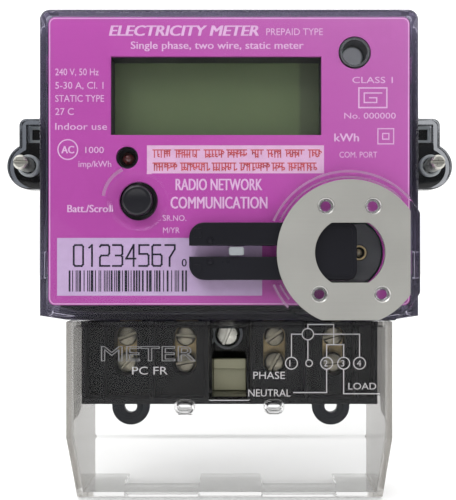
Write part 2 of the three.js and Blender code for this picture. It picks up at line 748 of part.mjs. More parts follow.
// The side view of the cover, as [depth, z] corners, drawn in by "inset" from the front, top and bottom.
function hoodSide(inset) {
  const lean = inset * 0.45;
  return [
    [HOOD.front - inset, HOOD.top - inset],
    [HOOD.front - inset, HOOD.bevelTop + lean],
    [HOOD.bevelBack - inset * 0.6, HOOD.bottom + inset],
  ];
}

// A solid with the given side view corners, closed at depth "back", between two X positions.
function sideSolid(corners, back, x0, x1) {
  const outline = [[back, corners[0][1]], ...corners, [back, corners[2][1]]];
  const shape = new THREE.Shape(outline.map(([depth, z]) => point(-depth, z)));
  const geometry = new THREE.ExtrudeGeometry(shape, { depth: x1 - x0, bevelEnabled: false });
  // The shape's x is the world's y and its y is the world's z, and it is extruded along the world's x.
  return geometry.applyMatrix4(new THREE.Matrix4().set(0, 0, 1, x0, 1, 0, 0, 0, 0, 1, 0, 0, 0, 0, 0, 1));
}

function terminalCover() {
  const { halfWidth, top, back, front, wall } = HOOD;
  const outer = sideSolid(hoodSide(0), back, -halfWidth, halfWidth);
  const inner = sideSolid(hoodSide(wall), back - 1, -halfWidth + wall, halfWidth - wall);
  const overBlock = box(-53.7, 53.7, top - 3, top + 1, back - 1, BLOCK.ribFront + 0.4);
  const { half, wall: skin, top: pocketTop, bottom: pocketBottom, step, deep, shallow } = POCKET;
  const pocketBody = [
    box(-half - skin, half + skin, step - skin, pocketTop + skin, deep - 2, front - 1),
    box(-half - skin, half + skin, pocketBottom - skin, step, shallow - 2, front - 1),
  ];
  const pocketSpace = [
    box(-half, half, step, pocketTop, deep, front + 1),
    box(-half, half, pocketBottom, step + 0.5, shallow, front + 1),
  ];
  const collar = panel(circle(HOOD_SCREW.x, HOOD_SCREW.z, HOOD_SCREW.head + 1.4, 24), deep - 1, deep + 2.2, [
    circle(HOOD_SCREW.x, HOOD_SCREW.z, HOOD_SCREW.head + 0.4, 24),
  ]);
  const ovals = SIDES.map((s) => {
    const ring = (grow) => slotAcross(s * 15.3, -82.5, 1.2, 2.2 + grow);
    return panel(ring(0), 42, front + 0.4, [ring(-0.9)]);
  });
  const mouthTop = HOOD.bottom + wall + 0.2;
  const cableMouths = SIDES.map((s) => {
    const [near, far] = [s * 12, s * 40];
    return box(Math.min(near, far), Math.max(near, far), HOOD.bottom - 1, mouthTop, back - 1, 18);
  });
  const screwHole = pin(HOOD_SCREW.x, HOOD_SCREW.z, 2.1, deep - 4, deep + 1, 2.1, 16);
  const shell = carve([outer], [inner, overBlock]);
  const pocketed = carve([shell, ...pocketBody, ...ovals], pocketSpace);
  return part("terminal_cover", carve([pocketed, collar], [...cableMouths, screwHole]), "clear");
}

function hoodScrew() {
  const { x, z, head, shank } = HOOD_SCREW;
  const screw = slottedScrew("terminal_cover_screw", head, shank, 12.5, POCKET.deep + GAP, 4, -68);
  screw.position.set(x, 0, z);
  return screw;
}

// ---------------------------------------------------------------- the assembly

const meter = new THREE.Group();
meter.add(
  base(),
  gasket(),
  mainCover(),
  ...sealScrews(),
  namePlate(),
  ...display(),
  ...scrollButton(),
  ...pulseLamp(),
  ...opticalPort(),
  portShutter(),
  mainBoard(),
  ...boardScrews(),
  tamperSwitch(),
  ...radioModule(),
  ...boardParts(),
  ...powerPath(),
  ...terminalBlock(),
  ...terminals(),
  terminalCover(),
  hoodScrew(),
);

export default meter;
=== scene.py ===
# A prepaid electricity meter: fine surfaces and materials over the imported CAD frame.
# Numbers are millimetres and degrees: x to the right, z up, and depth out from the wall (-y).

import itertools
import math
import random
from types import SimpleNamespace

import bmesh
import bpy
from mathutils import Matrix, Vector


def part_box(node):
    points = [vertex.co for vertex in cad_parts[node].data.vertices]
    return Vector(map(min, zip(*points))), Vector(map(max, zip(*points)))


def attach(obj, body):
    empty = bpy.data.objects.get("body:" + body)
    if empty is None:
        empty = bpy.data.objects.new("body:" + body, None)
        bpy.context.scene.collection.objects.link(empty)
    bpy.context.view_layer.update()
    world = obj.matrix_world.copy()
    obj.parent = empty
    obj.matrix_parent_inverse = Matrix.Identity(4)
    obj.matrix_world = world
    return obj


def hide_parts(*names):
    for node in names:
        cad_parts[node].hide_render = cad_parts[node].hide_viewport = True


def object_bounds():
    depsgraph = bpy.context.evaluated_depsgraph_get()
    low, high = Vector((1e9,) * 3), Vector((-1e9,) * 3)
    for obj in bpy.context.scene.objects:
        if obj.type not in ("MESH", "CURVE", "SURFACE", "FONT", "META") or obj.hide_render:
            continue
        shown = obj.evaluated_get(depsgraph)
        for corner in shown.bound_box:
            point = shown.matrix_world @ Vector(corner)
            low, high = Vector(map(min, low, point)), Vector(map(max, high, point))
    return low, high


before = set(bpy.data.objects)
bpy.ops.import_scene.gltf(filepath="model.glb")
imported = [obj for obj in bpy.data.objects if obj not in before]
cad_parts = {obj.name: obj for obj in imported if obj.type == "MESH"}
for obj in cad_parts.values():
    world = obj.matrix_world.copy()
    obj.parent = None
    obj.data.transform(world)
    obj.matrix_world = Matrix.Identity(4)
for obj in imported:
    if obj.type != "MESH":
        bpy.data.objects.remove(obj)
cad_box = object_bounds()

MM = 0.001
ROOT = "meter_case"
SIDES = (-1, 1)
scene = bpy.context.scene

# ---- dimensions (mm), taken from the frame


def extent(node):
    """A CAD node's reach in x, z and depth (back, front), and its centre x, z."""
    low, high = (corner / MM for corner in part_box(node))
    middle = dict(x=(low.x + high.x) / 2, z=(low.z + high.z) / 2)
    reach = dict(x0=low.x, x1=high.x, z0=low.z, z1=high.z, back=-high.y, front=-low.y)
    return SimpleNamespace(**reach, **middle)


seal_ring = extent("case_gasket")
CASE = SimpleNamespace(half=seal_ring.x1 + 1, top=seal_ring.z1 + 1, bottom=seal_ring.z0 - 1)
SHOULDER_HALF, SHOULDER_Z, CASE_CORNER = 54.5, seal_ring.z0 + 0.4, 3.5
FLOOR = 2.5  # thickness of the base's back wall and of its mounting tabs
RIM = 30  # depth where the base's outer wall ends
COVER_BACK, COVER_FRONT, EAR_FRONT = 31.8, 56, 38.5
seal_screw = extent("seal_screw_right")
EAR = SimpleNamespace(x=seal_screw.x, z=seal_screw.z, r=extent("main_cover").x1 - seal_screw.x)
EAR_BACK, EAR_STEP = 22, 1.2  # the base's half lies a step inside the cover's
EAR_LUG_X, EAR_LUG_TOP = 74.8, 18
PLATE = extent("name_plate")
PLATE_BACK = PLATE.front - 1.7
BEZEL = extent("lcd_bezel")
BEZEL_WALL = 3.6
WINDOW = [near + BEZEL_WALL for near in (BEZEL.x0, BEZEL.z0)]
WINDOW += [far - BEZEL_WALL for far in (BEZEL.x1, BEZEL.z1)]
BUTTON = extent("scroll_button")
LED = extent("pulse_lamp")
TAMPER = extent("cover_switch")
PORT = extent("port_holder")
DISC = extent("port_plate")
STUD_OFFSETS = ((-7.9, 15.2), (7.5, 15.2), (-10, -13.6), (10.5, -13.6))
STUDS = [(PORT.x + dx, PORT.z + dz) for dx, dz in STUD_OFFSETS]
SHUTTER = extent("port_shutter")
SHUTTER_FRONT = DISC.back - 0.3
TERMINALS = [extent(f"terminal_{i}") for i in range(1, 5)]
SCREWS = {f"{i}{row}": extent(f"terminal_screw_{i}{row}") for i in range(1, 5) for row in "ab"}
BLOCK_LEFT, BLOCK_RIGHT = extent("terminal_block_left"), extent("terminal_block_right")
HOOD = extent("terminal_cover")
HOOD_BODY, HOOD_FRONT, WELL_TOP = "terminal_cover", 50, HOOD.z1 - 1.2
HOOD_SCREW = extent("terminal_cover_screw")
WIRE_DEPTH = 21.4  # of the wires' bores in the terminals
TAB_X, TAB_Z, TAB_R = 39.9, -90.6, 7.5
BOARD_POSTS = [(x, z) for x in (-53.5, 53.5) for z in (-41, 41)]

# ---- outlines in the x-z plane


def arc(x, z, r, a0, a1, steps=12):
    """Points on a circle about x, z, from angle a0 to a1."""
    angles = [math.radians(a0 + (a1 - a0) * i / steps) for i in range(steps + 1)]
    return [(x + r * math.cos(a), z + r * math.sin(a)) for a in angles]


def circle(x, z, r, steps=64):
    return arc(x, z, r, 0, 360, steps)[:-1]


def rectangle(x0, z0, x1, z1):
    return [(x0, z0), (x1, z0), (x1, z1), (x0, z1)]


def rounded(x0, z0, x1, z1, r, steps=8):
    corners = zip(rectangle(x0 + r, z0 + r, x1 - r, z1 - r), (180, 270, 0, 90))
    return [point for (x, z), a in corners for point in arc(x, z, r, a, a + 90, steps)]


def slot_up(x, z0, z1, r, steps=20):
    """A round-ended slot whose end circles stand at z0 and z1."""
    return arc(x, z1, r, 0, 180, steps) + arc(x, z0, r, 180, 360, steps)


def slot_across(x, z, reach, r, steps=16):
    """A round-ended slot whose end circles lie `reach` to either side of x."""
    return arc(x + reach, z, r, -90, 90, steps) + arc(x - reach, z, r, 90, 270, steps)


def flattened(x, z, r, flat, steps=24):
    """A circle cut off flat at `flat` above and below its centre."""
    a = math.degrees(math.asin(flat / r))
    return arc(x, z, r, -a, a, steps) + arc(x, z, r, 180 - a, 180 + a, steps)


def case_outline(inset):
    """The case seen from the front, drawn in by `inset`."""
    w, top = CASE.half - inset, CASE.top - inset
    r = max(CASE_CORNER - inset, 0.6)
    half, low, shoulder = SHOULDER_HALF, CASE.bottom + inset, SHOULDER_Z + inset
    return (
        [(-half, low), (half, low), (w, shoulder)]
        + arc(w - r, top - r, r, 0, 90)
        + arc(-w + r, top - r, r, 90, 180)
        + [(-w, shoulder)]
    )


def ear_outline(side, root, inset=0.0):
    """A rounded lug above a round screw boss, on one side of the case."""
    r, lug_x, lug_top = EAR.r - inset, EAR_LUG_X - inset, EAR_LUG_TOP - inset
    start = math.degrees(math.acos((lug_x - EAR.x) / r))
    corner = 2.5
    right = (
        [(root, EAR.z - r)]
        + arc(EAR.x, EAR.z, r, -90, start, 28)
        + arc(lug_x - corner, lug_top - corner, corner, 0, 90, 8)
        + [(root, lug_top)]
    )
    return right if side > 0 else [(-x, z) for x, z in reversed(right)]


# ---- solids

SAME_PLACE, WELD = 1e-7, 2e-6  # metres
LEAST_R = 0.02  # where a turned piece comes to a point


def spot(x, depth, z):
    """A point in Blender's metres."""
    return Vector((x * MM, -depth * MM, z * MM))


def place_in_scene(name, data):
    obj = bpy.data.objects.new(name, data)
    scene.collection.objects.link(obj)
    return obj


def from_bmesh(bm):
    bmesh.ops.recalc_face_normals(bm, faces=bm.faces)
    mesh = bpy.data.meshes.new("piece")
    bm.to_mesh(mesh)
    bm.free()
    return place_in_scene("piece", mesh)


def loft(rings):
    """A closed solid through rings of points; the first and last ring are capped."""
    bm = bmesh.new()
    made = [[bm.verts.new(p) for p in ring] for ring in rings]
    for low, high in zip(made, made[1:]):
        for i in range(len(low)):
            j = (i + 1) % len(low)
            bm.faces.new((low[i], low[j], high[j], high[i]))
    bm.faces.new(made[0])
    bm.faces.new(made[-1])
    return from_bmesh(bm)


def slab(outline, back, front):
    """A plate of an x-z outline between two depths."""
    return loft([[spot(x, d, z) for x, z in outline] for d in (back, front)])


def box(x0, x1, z0, z1, back, front):
    return slab(rectangle(x0, z0, x1, z1), back, front)


def turned(x, z, profile, steps=64):
    """A turned piece about the depth axis through x, z, with (radius, depth) profile points."""
    rims = [(circle(x, z, max(r, LEAST_R), steps), d) for r, d in profile]
    return loft([[spot(px, d, pz) for px, pz in rim] for rim, d in rims])


def pin(x, z, r, back, front, front_r=None, steps=64):
    """A cylinder along the depth axis, or a cone where its front radius differs."""
    return turned(x, z, [(r, back), (r if front_r is None else front_r, front)], steps)


def upright(x, depth, r, z0, z1, steps=64):
    """A vertical cylinder."""
    rim = circle(x, depth, r, steps)
    return loft([[spot(px, d, z) for px, d in rim] for z in (z0, z1)])


def side_solid(corners, x0, x1):
    """A solid with the given side view, as (depth, z) corners, between two x positions."""
    return loft([[spot(x, d, z) for d, z in corners] for x in (x0, x1)])


def soft_slab(outline, back, front, radius, segments=5):
    """A slab whose front rim is rounded."""
    obj = slab(outline, back, front)
    bm = bmesh.new()
    bm.from_mesh(obj.data)
    rim = [e for e in bm.edges if all(abs(v.co.y + front * MM) < SAME_PLACE for v in e.verts)]
    rounding = dict(offset=radius * MM, segments=segments, profile=0.5, affect="EDGES")
    bmesh.ops.bevel(bm, geom=rim, clamp_overlap=True, **rounding)
    bm.to_mesh(obj.data)
    bm.free()
    return obj


def final_mesh(obj):
    """The object's mesh with its modifiers applied."""
    dg = bpy.context.evaluated_depsgraph_get()
    return bpy.data.meshes.new_from_object(obj.evaluated_get(dg))


def combine(target, tools, operation):
    """Applies a boolean with each tool in turn, and removes the tools."""
    for tool in tools:
        m = target.modifiers.new("combine", "BOOLEAN")
        m.operation = operation
        m.solver = "MANIFOLD"
        m.object = tool
    mesh = final_mesh(target)
    target.modifiers.clear()
    target.data = mesh
    for tool in tools:
        bpy.data.objects.remove(tool)
    return target


def join(target, tools):
    return combine(target, tools, "UNION")


def cut(target, tools):
    return combine(target, tools, "DIFFERENCE")


def ring(outer, inner, back, front):
    """A slab with a hole right through it."""
    return cut(slab(outer, back, front), [slab(inner, back - 1, front + 1)])


def cleaned(obj):
    """Removes needless edges from flat faces and shades the rest smooth."""
    bm = bmesh.new()
    bm.from_mesh(obj.data)
    bmesh.ops.remove_doubles(bm, verts=bm.verts, dist=WELD)
    flat = math.radians(0.4)
    bmesh.ops.dissolve_limit(bm, angle_limit=flat, verts=bm.verts, edges=bm.edges)
    for f in bm.faces:
        f.smooth = True
    bm.to_mesh(obj.data)
    bm.free()
    return obj


def crisp(obj):
    """Smooth curves with hard, unrounded edges."""
    cleaned(obj).data.set_sharp_from_angle(angle=math.radians(30))
    return obj


def edged(obj, width=0.2, segments=2, angle=34):
    """Smooth curves with every sharp edge rounded."""
    m = cleaned(obj).modifiers.new("edges", "BEVEL")
    m.width = width * MM
    m.segments = segments
    m.limit_method = "ANGLE"
    m.angle_limit = math.radians(angle)
    m.use_clamp_overlap = False
    m.harden_normals = True
    m.miter_outer = "MITER_ARC"
    return obj


def bead(x, z, r, width, a0, a1, back, front):
    """A raised line along part of a circle."""
    outer, inner = arc(x, z, r + width / 2, a0, a1, 60), arc(x, z, r - width / 2, a1, a0, 60)
    return slab(outer + inner, back, front)


def merge(objects):
    """Puts several solids into one object, without a boolean."""
    bm = bmesh.new()
    for obj in objects:
        bm.from_mesh(obj.data)
        bpy.data.objects.remove(obj)
    return from_bmesh(bm)


# ---- materials


class Tree:
    """A small helper that builds a node tree on one kind of coordinates."""

    def __init__(self, tree, coordinates):
        self.tree = tree
        self.coords = self.add("TexCoord").outputs[coordinates]

    def add(self, kind, **sockets):
        """A new node; a socket's name is given with _ for a space."""
        node = self.tree.nodes.new("ShaderNode" + kind)
        for key, value in sockets.items():
            node.inputs[key.replace("_", " ")].default_value = value
        return node

    def link(self, a, b):
        self.tree.links.new(a, b)

    def axes(self):
        split = self.add("SeparateXYZ")
        self.link(self.coords, split.inputs[0])
        return split.outputs

    def noise(self, scale, detail, stretch=(1, 1, 1)):
        """Noise of `scale` features to the metre."""
        mapping = self.add("Mapping", Scale=stretch)
        self.link(self.coords, mapping.inputs["Vector"])
        node = self.add("TexNoise", Scale=scale, Detail=detail)
        self.link(mapping.outputs[0], node.inputs["Vector"])
        return node.outputs["Fac"]

    def math(self, operation, *values):
        """A Math node on sockets and plain numbers."""
        node = self.add("Math")
        node.operation = operation
        for value, target in zip(values, node.inputs):
            if isinstance(value, float):
                target.default_value = value
            else:
                self.link(value, target)
        return node.outputs[0]

    def spread(self, value, low, high, start=0, end=1):
        """A value from low to high, as another goes from start to end."""
        node = self.add("MapRange", From_Min=start, From_Max=end, To_Min=low, To_Max=high)
        self.link(value, node.inputs["Value"])
        return node.outputs[0]

    def across(self, place, start, end):
        """0 to 1 between two places in millimetres."""
        return self.spread(place, 0, 1, start * MM, end * MM)

    def ramp(self, value, stops):
        """Colours along a value from 0 to 1."""
        node = self.add("ValToRGB")
        first, last = node.color_ramp.elements[0], node.color_ramp.elements[-1]
        first.position, first.color = stops[0][0], (*stops[0][1], 1)
        last.position, last.color = stops[-1][0], (*stops[-1][1], 1)
        for position, color in stops[1:-1]:
            node.color_ramp.elements.new(position).color = (*color, 1)
        self.link(value, node.inputs["Fac"])
        return node.outputs["Color"]


class Material(Tree):
    """A material of one Principled shader."""

    def __init__(self, name, color, roughness, metallic=0.0, **sockets):
        self.mat = bpy.data.materials.new(name)
        self.mat.use_nodes = True
        self.mat.node_tree.nodes.clear()
        super().__init__(self.mat.node_tree, "Object")
        self.surface = self.add("OutputMaterial").inputs["Surface"]
        sockets.update(Base_Color=(*color, 1), Roughness=roughness, Metallic=metallic)
        shader = self.add("BsdfPrincipled", **sockets)
        self.inputs, self.shader, self.roughness = shader.inputs, shader.outputs[0], roughness
        self.link(self.shader, self.surface)

    def paint(self, value, *stops):
        self.link(self.ramp(value, stops), self.inputs["Base Color"])

    def gloss(self, value, low, high):
        """Spreads the roughness between two shares of itself."""
        ends = self.roughness * low, self.roughness * high
        self.link(self.spread(value, *ends), self.inputs["Roughness"])

    def bump(self, height, strength, relief):
        """Bump whose full height is `relief` millimetres."""
        node = self.add("Bump", Strength=strength, Distance=relief * MM)
        self.link(height, node.inputs["Height"])
        self.link(node.outputs[0], self.inputs["Normal"])


def shade(color, factor):
    return tuple(c * factor for c in color)


def moulded(name, color, roughness, bump=0.08, **sockets):
    """Moulded plastic: a fine spark-eroded grain, faint cloudiness and slightly uneven gloss."""
    m = Material(name, color, roughness, **sockets)
    m.paint(m.noise(60, 5), (0.3, shade(color, 0.88)), (0.7, shade(color, 1.12)))
    m.gloss(m.noise(140, 6), 0.8, 1.25)
    m.bump(m.noise(2600, 2), bump, 0.04)
    return m.mat


def metal(name, color, roughness, stretch=(1, 1, 1), bump=0.15, stain=0.25):
    """Plated or machined metal with fine tool marks and faint staining."""
    m = Material(name, color, roughness, 1.0)
    m.paint(m.noise(180, 6), (0.35, shade(color, 1 - stain)), (0.62, color))
    marks = m.noise(900, 3, stretch)
    m.gloss(marks, 0.7, 1.5)
    m.bump(marks, bump, 0.03)
    return m.mat


def clear_plastic(name, tint, roughness=0.03, share=1.0, ior=1.3, wear=0.0, thin=0.97, painted_wall_shade=None):
    """Clear moulded plastic that passes a share of the light, and lets the lamps' rays through.

    The last argument paints shade on the walls seen edge-on: a darker, less clear tint that stands
    in for the dark parts seen through them. It holds the axis they are counted along, where on it
    the change starts and ends, their tint, and the share that they pass.
    """
    m = Material(name, tint, roughness, IOR=ior, Transmission_Weight=share)
    m.gloss(m.noise(120, 5), 0.6, 1.5)
    if wear:
        m.paint(m.noise(45, 5), (0.3, shade(tint, 1 - wear)), (0.7, tint))
    if painted_wall_shade:
        axis, start, end, shaded_wall_tint, least = painted_wall_shade
        wall_shade_mask = m.across(m.math("ABSOLUTE", m.axes()[axis]), start, end)
        m.paint(wall_shade_mask, (0, tint), (1, shaded_wall_tint))
        m.link(m.spread(wall_shade_mask, share, least), m.inputs["Transmission Weight"])
    passing = m.add("BsdfTransparent", Color=(*shade(tint, thin), 1))
    mix = m.add("MixShader")
    m.link(m.add("LightPath").outputs["Is Shadow Ray"], mix.inputs["Fac"])
    m.link(m.shader, mix.inputs[1])
    m.link(passing.outputs[0], mix.inputs[2])
    m.link(mix.outputs[0], m.surface)
    return m.mat


def satin_steel(name, color, roughness, metallic):
    """Satin steel: clouded gloss over very fine brushing across x."""
    m = Material(name, color, roughness, metallic, Anisotropic=0.25)
    lines, cloud = m.noise(900, 5, (0.06, 1, 3.0)), m.noise(55, 4)
    mixed = m.math("ADD", m.spread(lines, -0.12, 0.12), cloud)
    m.paint(mixed, (0.25, shade(color, 0.92)), (0.75, shade(color, 1.05)))
    m.gloss(cloud, 0.85, 1.2)
    m.bump(lines, 0.05, 0.02)
    return m.mat


def printed(name, color, wear=0.1):
    """Screen-printed ink or label stock, a little uneven."""
    m = Material(name, color, 0.45, Specular_IOR_Level=0.2)
    m.paint(m.noise(500, 3), (0.25, shade(color, 1 - wear)), (0.6, color))
    m.bump(m.noise(3500, 2), 0.05, 0.02)
    return m.mat


def face_plastic(name, color):
    """The plate's printed face, mottled a little, with painted light: lighter towards the top
    right and darker towards the bottom left.
    """
    m = Material(name, color, 0.42, **DULL)
    split = m.axes()
    painted_light_ramp = m.across(m.math("ADD", split["X"], split["Z"]), -105, 105)
    mottle_and_painted_light = m.math("ADD", painted_light_ramp, m.spread(m.noise(40, 5), -0.08, 0.08))
    # Painted light: the pale tone is a painted highlight at the top right, and the darker first
    # stop is painted shade at the bottom left.
    pale = (color[0] * 1.06, color[1] * 1.9, color[2] * 1.1)
    m.paint(mottle_and_painted_light, (0.0, shade(color, 0.9)), (0.5, color), (1.0, pale))
    m.bump(m.noise(2600, 2), 0.05, 0.03)
    return m.mat


def display_film(name, color):
    """The liquid-crystal film under smooth glass, with painted light that makes it lighter towards
    the right, and a darker band at the right.
    """
    m = Material(name, color, 0.3, Specular_IOR_Level=0.2, Coat_Weight=0.12, Coat_Roughness=0.05)
    beyond = 1.8  # how far the film goes on behind the bezel
    width = m.across(m.axes()["X"], WINDOW[0] - beyond, WINDOW[2] + beyond)
    mottle_and_painted_light = m.math("ADD", width, m.spread(m.noise(260, 3), -0.006, 0.006))
    band = (color[0] * 0.82, color[1] * 0.76, color[2] * 0.88)
    # Painted light: the film's colour goes from darker at the left to lighter towards the band.
    left = [(0.0, shade(color, 0.95)), (0.5, color), (0.88, shade(color, 1.12))]
    m.paint(mottle_and_painted_light, *left, (0.894, band), (1.0, shade(band, 0.85)))
    return m.mat


DULL = dict(Specular_IOR_Level=0.12)
GLOSSY = dict(Coat_Weight=0.5, Coat_Roughness=0.03)
# Painted shade: the cover's and the hood's side walls, seen edge-on, get darker and less clear
# tints that stand in for the dark parts seen through them.
COVER_WALL_SHADE = ("Y", COVER_FRONT - 3, COVER_FRONT - 5.5, (0.29, 0.26, 0.36), 0.70)
HOOD_WALL_SHADE = ("X", HOOD.x1 - 2.6, HOOD.x1 - 1.6, (0.40, 0.385, 0.36), 0.72)
MAT = {
    "clear": clear_plastic("clear_polycarbonate", (0.90, 0.91, 0.94), ior=1.22, painted_wall_shade=COVER_WALL_SHADE),
    "hood": clear_plastic("clear_hood", (0.77, 0.77, 0.765), ior=1.2, painted_wall_shade=HOOD_WALL_SHADE),
    "smoky": clear_plastic("smoky_polycarbonate", (0.12, 0.13, 0.15), 0.08, ior=1.4),
    # A lighter copy of the smoky plastic: painted light for the ear on the lit side.
    "painted_lit_smoky": clear_plastic("smoky_polycarbonate_painted_lit", (0.30, 0.31, 0.33), 0.08, ior=1.4),
    # A paler, part-frosted clear plastic for the lines that paint highlights on the rims.
    "bead": clear_plastic("painted_highlight_bead", (0.80, 0.66, 0.78), 0.3, 0.89, 1.3, 0.1),
    "frosted": clear_plastic("frosted_step", (0.43, 0.42, 0.28), 0.35, 0.3, 1.4, 0.15, 0.6),
    "milky": clear_plastic("milky_polycarbonate", (0.42, 0.45, 0.47), 0.3, 0.4, 1.45, 0.12, 0.6),
    "slate": moulded("slate_plastic", (0.014, 0.018, 0.028), 0.36, bump=0.03, **DULL),
    "magenta": face_plastic("magenta_plate", (0.43, 0.066, 0.33)),
    "black": moulded("black_plastic", (0.008, 0.008, 0.011), 0.3, bump=0.04, **DULL),
    "button": moulded(
        "button_plastic", (0.009, 0.009, 0.012), 0.16, bump=0.02, Specular_IOR_Level=0.35
    ),
    "block": moulded("black_phenolic", (0.007, 0.007, 0.009), 0.4, bump=0.0, **DULL),
    "grey": moulded("grey_post", (0.62, 0.62, 0.64), 0.2, bump=0.02),
    "graphite": moulded("dark_grey_plastic", (0.055, 0.055, 0.057), 0.5),
    "rubber": moulded("black_rubber", (0.012, 0.012, 0.012), 0.75, bump=0.2),
    "white": moulded("white_plastic", (0.62, 0.62, 0.58), 0.45),
    "steel": satin_steel("satin_steel", (0.32, 0.317, 0.297), 0.5, 0.55),
    "nickel": metal("plated_screws", (0.37, 0.34, 0.265), 0.32, stain=0.4),
    "bright": metal("bright_plating", (0.56, 0.55, 0.50), 0.28),
    "polished": metal("polished_steel", (0.60, 0.59, 0.57), 0.22, bump=0.1),
    "brass": metal("machined_brass", (0.44, 0.34, 0.18), 0.34, (0.1, 1, 1)),
    "copper": metal("bare_copper", (0.72, 0.36, 0.2), 0.32),
    "lens": moulded("dark_red_lens", (0.07, 0.006, 0.006), 0.1, bump=0.0, **GLOSSY),
    "amber": moulded("cream_lens", (0.55, 0.46, 0.30), 0.15, bump=0.0, **GLOSSY),
    "board": moulded("green_board", (0.010, 0.085, 0.035), 0.3, bump=0.05),
    "ceramic": moulded("coated_ceramic", (0.03, 0.09, 0.28), 0.35),
    "lcd": display_film("lcd_film", (0.106, 0.138, 0.065)),
    "ink_pale": printed("pale_ink", (0.70, 0.43, 0.63)),
    "ink_red": printed("red_ink", (0.52, 0.08, 0.085)),
    "ink_black": printed("black_ink", (0.010, 0.009, 0.02)),
    "ink_grey": printed("grey_ink", (0.44, 0.43, 0.44)),
    # Grey for the painted shade on the edges of the hood's embossed word.
    "relief": printed("painted_word_edge_shade", (0.21, 0.21, 0.215)),
    "label": printed("label_stock", (0.50, 0.36, 0.53), wear=0.06),
    "pale_label": printed("pale_label_stock", (0.66, 0.40, 0.56), wear=0.06),
}
BRASS = ("brass", "terminal_brass")  # material and slot


def dress(obj, material):
    obj.data.materials.clear()
    obj.data.materials.append(MAT[material])
    return obj


def piece(obj, name, material, slot, replaces=(), body=ROOT):
    """Names, paints and attaches one finished piece."""
    obj.name = name
    obj.data.name = name
    dress(obj, material)
    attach(obj, body)
    if replaces:
        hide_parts(*([replaces] if isinstance(replaces, str) else replaces))
    return obj


# ---- case


def side_box(side, near, far, z0, z1, back, front):
    """A box on one side of the middle, from near to far."""
    return box(*sorted((side * near, side * far)), z0, z1, back, front)


def make_base():
    """A tray with a tongue inside its rim, mounting tabs, ears, posts, ribs and hooks."""
    shell = slab(case_outline(0), 0, RIM)
    tongue = slab(case_outline(2.4), RIM - 1, 33.5)
    join(shell, [tongue, box(-52.4, 52.4, BLOCK_LEFT.z0, CASE.bottom + 1, 0, FLOOR)])
    tabs, tab_top = [], BLOCK_LEFT.z0 + 1
    for s in SIDES:
        x = s * TAB_X
        tab = arc(x, TAB_Z, TAB_R, 180, 360, 32) + [(x + TAB_R, tab_top), (x - TAB_R, tab_top)]
        tabs += [slab(tab, 0, FLOOR), pin(x, TAB_Z, 4.6, 2.4, 3.0)]
        tabs.append(slab(ear_outline(s, CASE.half - 1, EAR_STEP), EAR_BACK, RIM))
        tabs.append(slab(ear_outline(s, CASE.half + 0.2, EAR_STEP), RIM - 1, 31.5))
    join(shell, tabs)
    cut(shell, [slab(case_outline(2.5), FLOOR, 26), slab(case_outline(4), 25, 34.5)])
    posts = [pin(x, z, 3.5, 2, 31.7) for x, z in BOARD_POSTS]
    rib_z = (-30, -10, 24)
    ribs = [side_box(s, 60.6, 61.6, z - 0.6, z + 0.6, 2.2, 25) for s in SIDES for z in rib_z]
    hooks = [side_box(s, CASE.half - 0.6, CASE.half, -38.2, -29.6, RIM - 1, 45.7) for s in SIDES]
    join(shell, posts + ribs + hooks + [box(-8, 8, 26, 49.5, 2, 9.5)])
    keyhole, wall = (0, 33, 42), (-1, 4)
    holes = [
        pin(*keyhole[:2], 5, *wall),
        slab(slot_up(*keyhole, 2.7), *wall),
        slab(slot_up(*keyhole, 5.4), FLOOR, 7.5),
    ]
    for s in SIDES:
        holes.append(pin(s * TAB_X, TAB_Z, 2.5, *wall))
        holes.append(pin(s * EAR.x, EAR.z, 3.3, EAR_BACK - 1, 28.2))
        holes.append(pin(s * EAR.x, EAR.z, 2.2, 28, 32.5))
    holes += [pin(x, z, 1.3, 22, 33, steps=32) for x, z in BOARD_POSTS]
    low = CASE.bottom - 1
    holes += [box(t.x - 4.6, t.x + 4.6, low, CASE.bottom + 5, 19.8, 23) for t in TERMINALS]
    cut(shell, holes)
    piece(edged(shell, 0.3, 3), "base_shell", "slate", "base_slate", "base_tray")
    seal = ring(case_outline(1), case_outline(1.9), 30.2, 31.6)
    piece(edged(seal), "case_seal", "rubber", "gasket", "case_gasket")


def make_cover_shell():
    """The clear cover, with a platform for the port and a channel for the shutter."""
    shell = soft_slab(case_outline(0), COVER_BACK, COVER_FRONT, 1.4, 6)
    platform = soft_slab(circle(PORT.x, PORT.z, 27.3, 128), 54.6, 57.6, 0.7, 4)
    far = 100  # past everything
    beyond = box(CASE.half, far, -far, far, 50, 60), box(0, far, -far, CASE.bottom, 50, 60)
    cut(platform, beyond)
    join(shell, [platform])
    seat, z0, z1 = DISC.back - 0.1, SHUTTER.z - 9.8, SHUTTER.z + 9.8
    channel = box(0, PORT.x + 13.2, z0, z1, COVER_FRONT, 59)
    cut(shell, [slab(case_outline(2), COVER_BACK - 1, COVER_FRONT - 2.2), channel])
    adds = [
        box(PORT.x - 20, PORT.x + 18, z1, SHUTTER.z + 11.4, 57, seat),
        box(PORT.x - 19, PORT.x + 18, SHUTTER.z - 11.4, z0, 57, seat),
        box(PORT.x + 14.5, PORT.x + 16.5, z0, z1, 55, seat),
    ]
    for x, z in STUDS:
        adds += [pin(x, z, 2.6, 55, seat, steps=48), pin(x, z, 1.35, 59, 61, steps=40)]
        adds.append(pin(x, z, 1.35, 60.7, 61.3, 2.0, 40))
    join(shell, adds)
    x, z, notch = BUTTON.x, BUTTON.z, (-38.5, -29.3, COVER_BACK - 1, 46)
    cuts = [pin(x, z, 8.8, 55.2, 56.2, 10.45, 96), pin(x, z, 6.3, 52, 57, steps=80)]
    cuts += [side_box(s, CASE.half - 0.9, CASE.half + 1, *notch) for s in SIDES]
    cut(shell, cuts)
    piece(crisp(shell), "clear_cover", "clear", "clear", "main_cover")


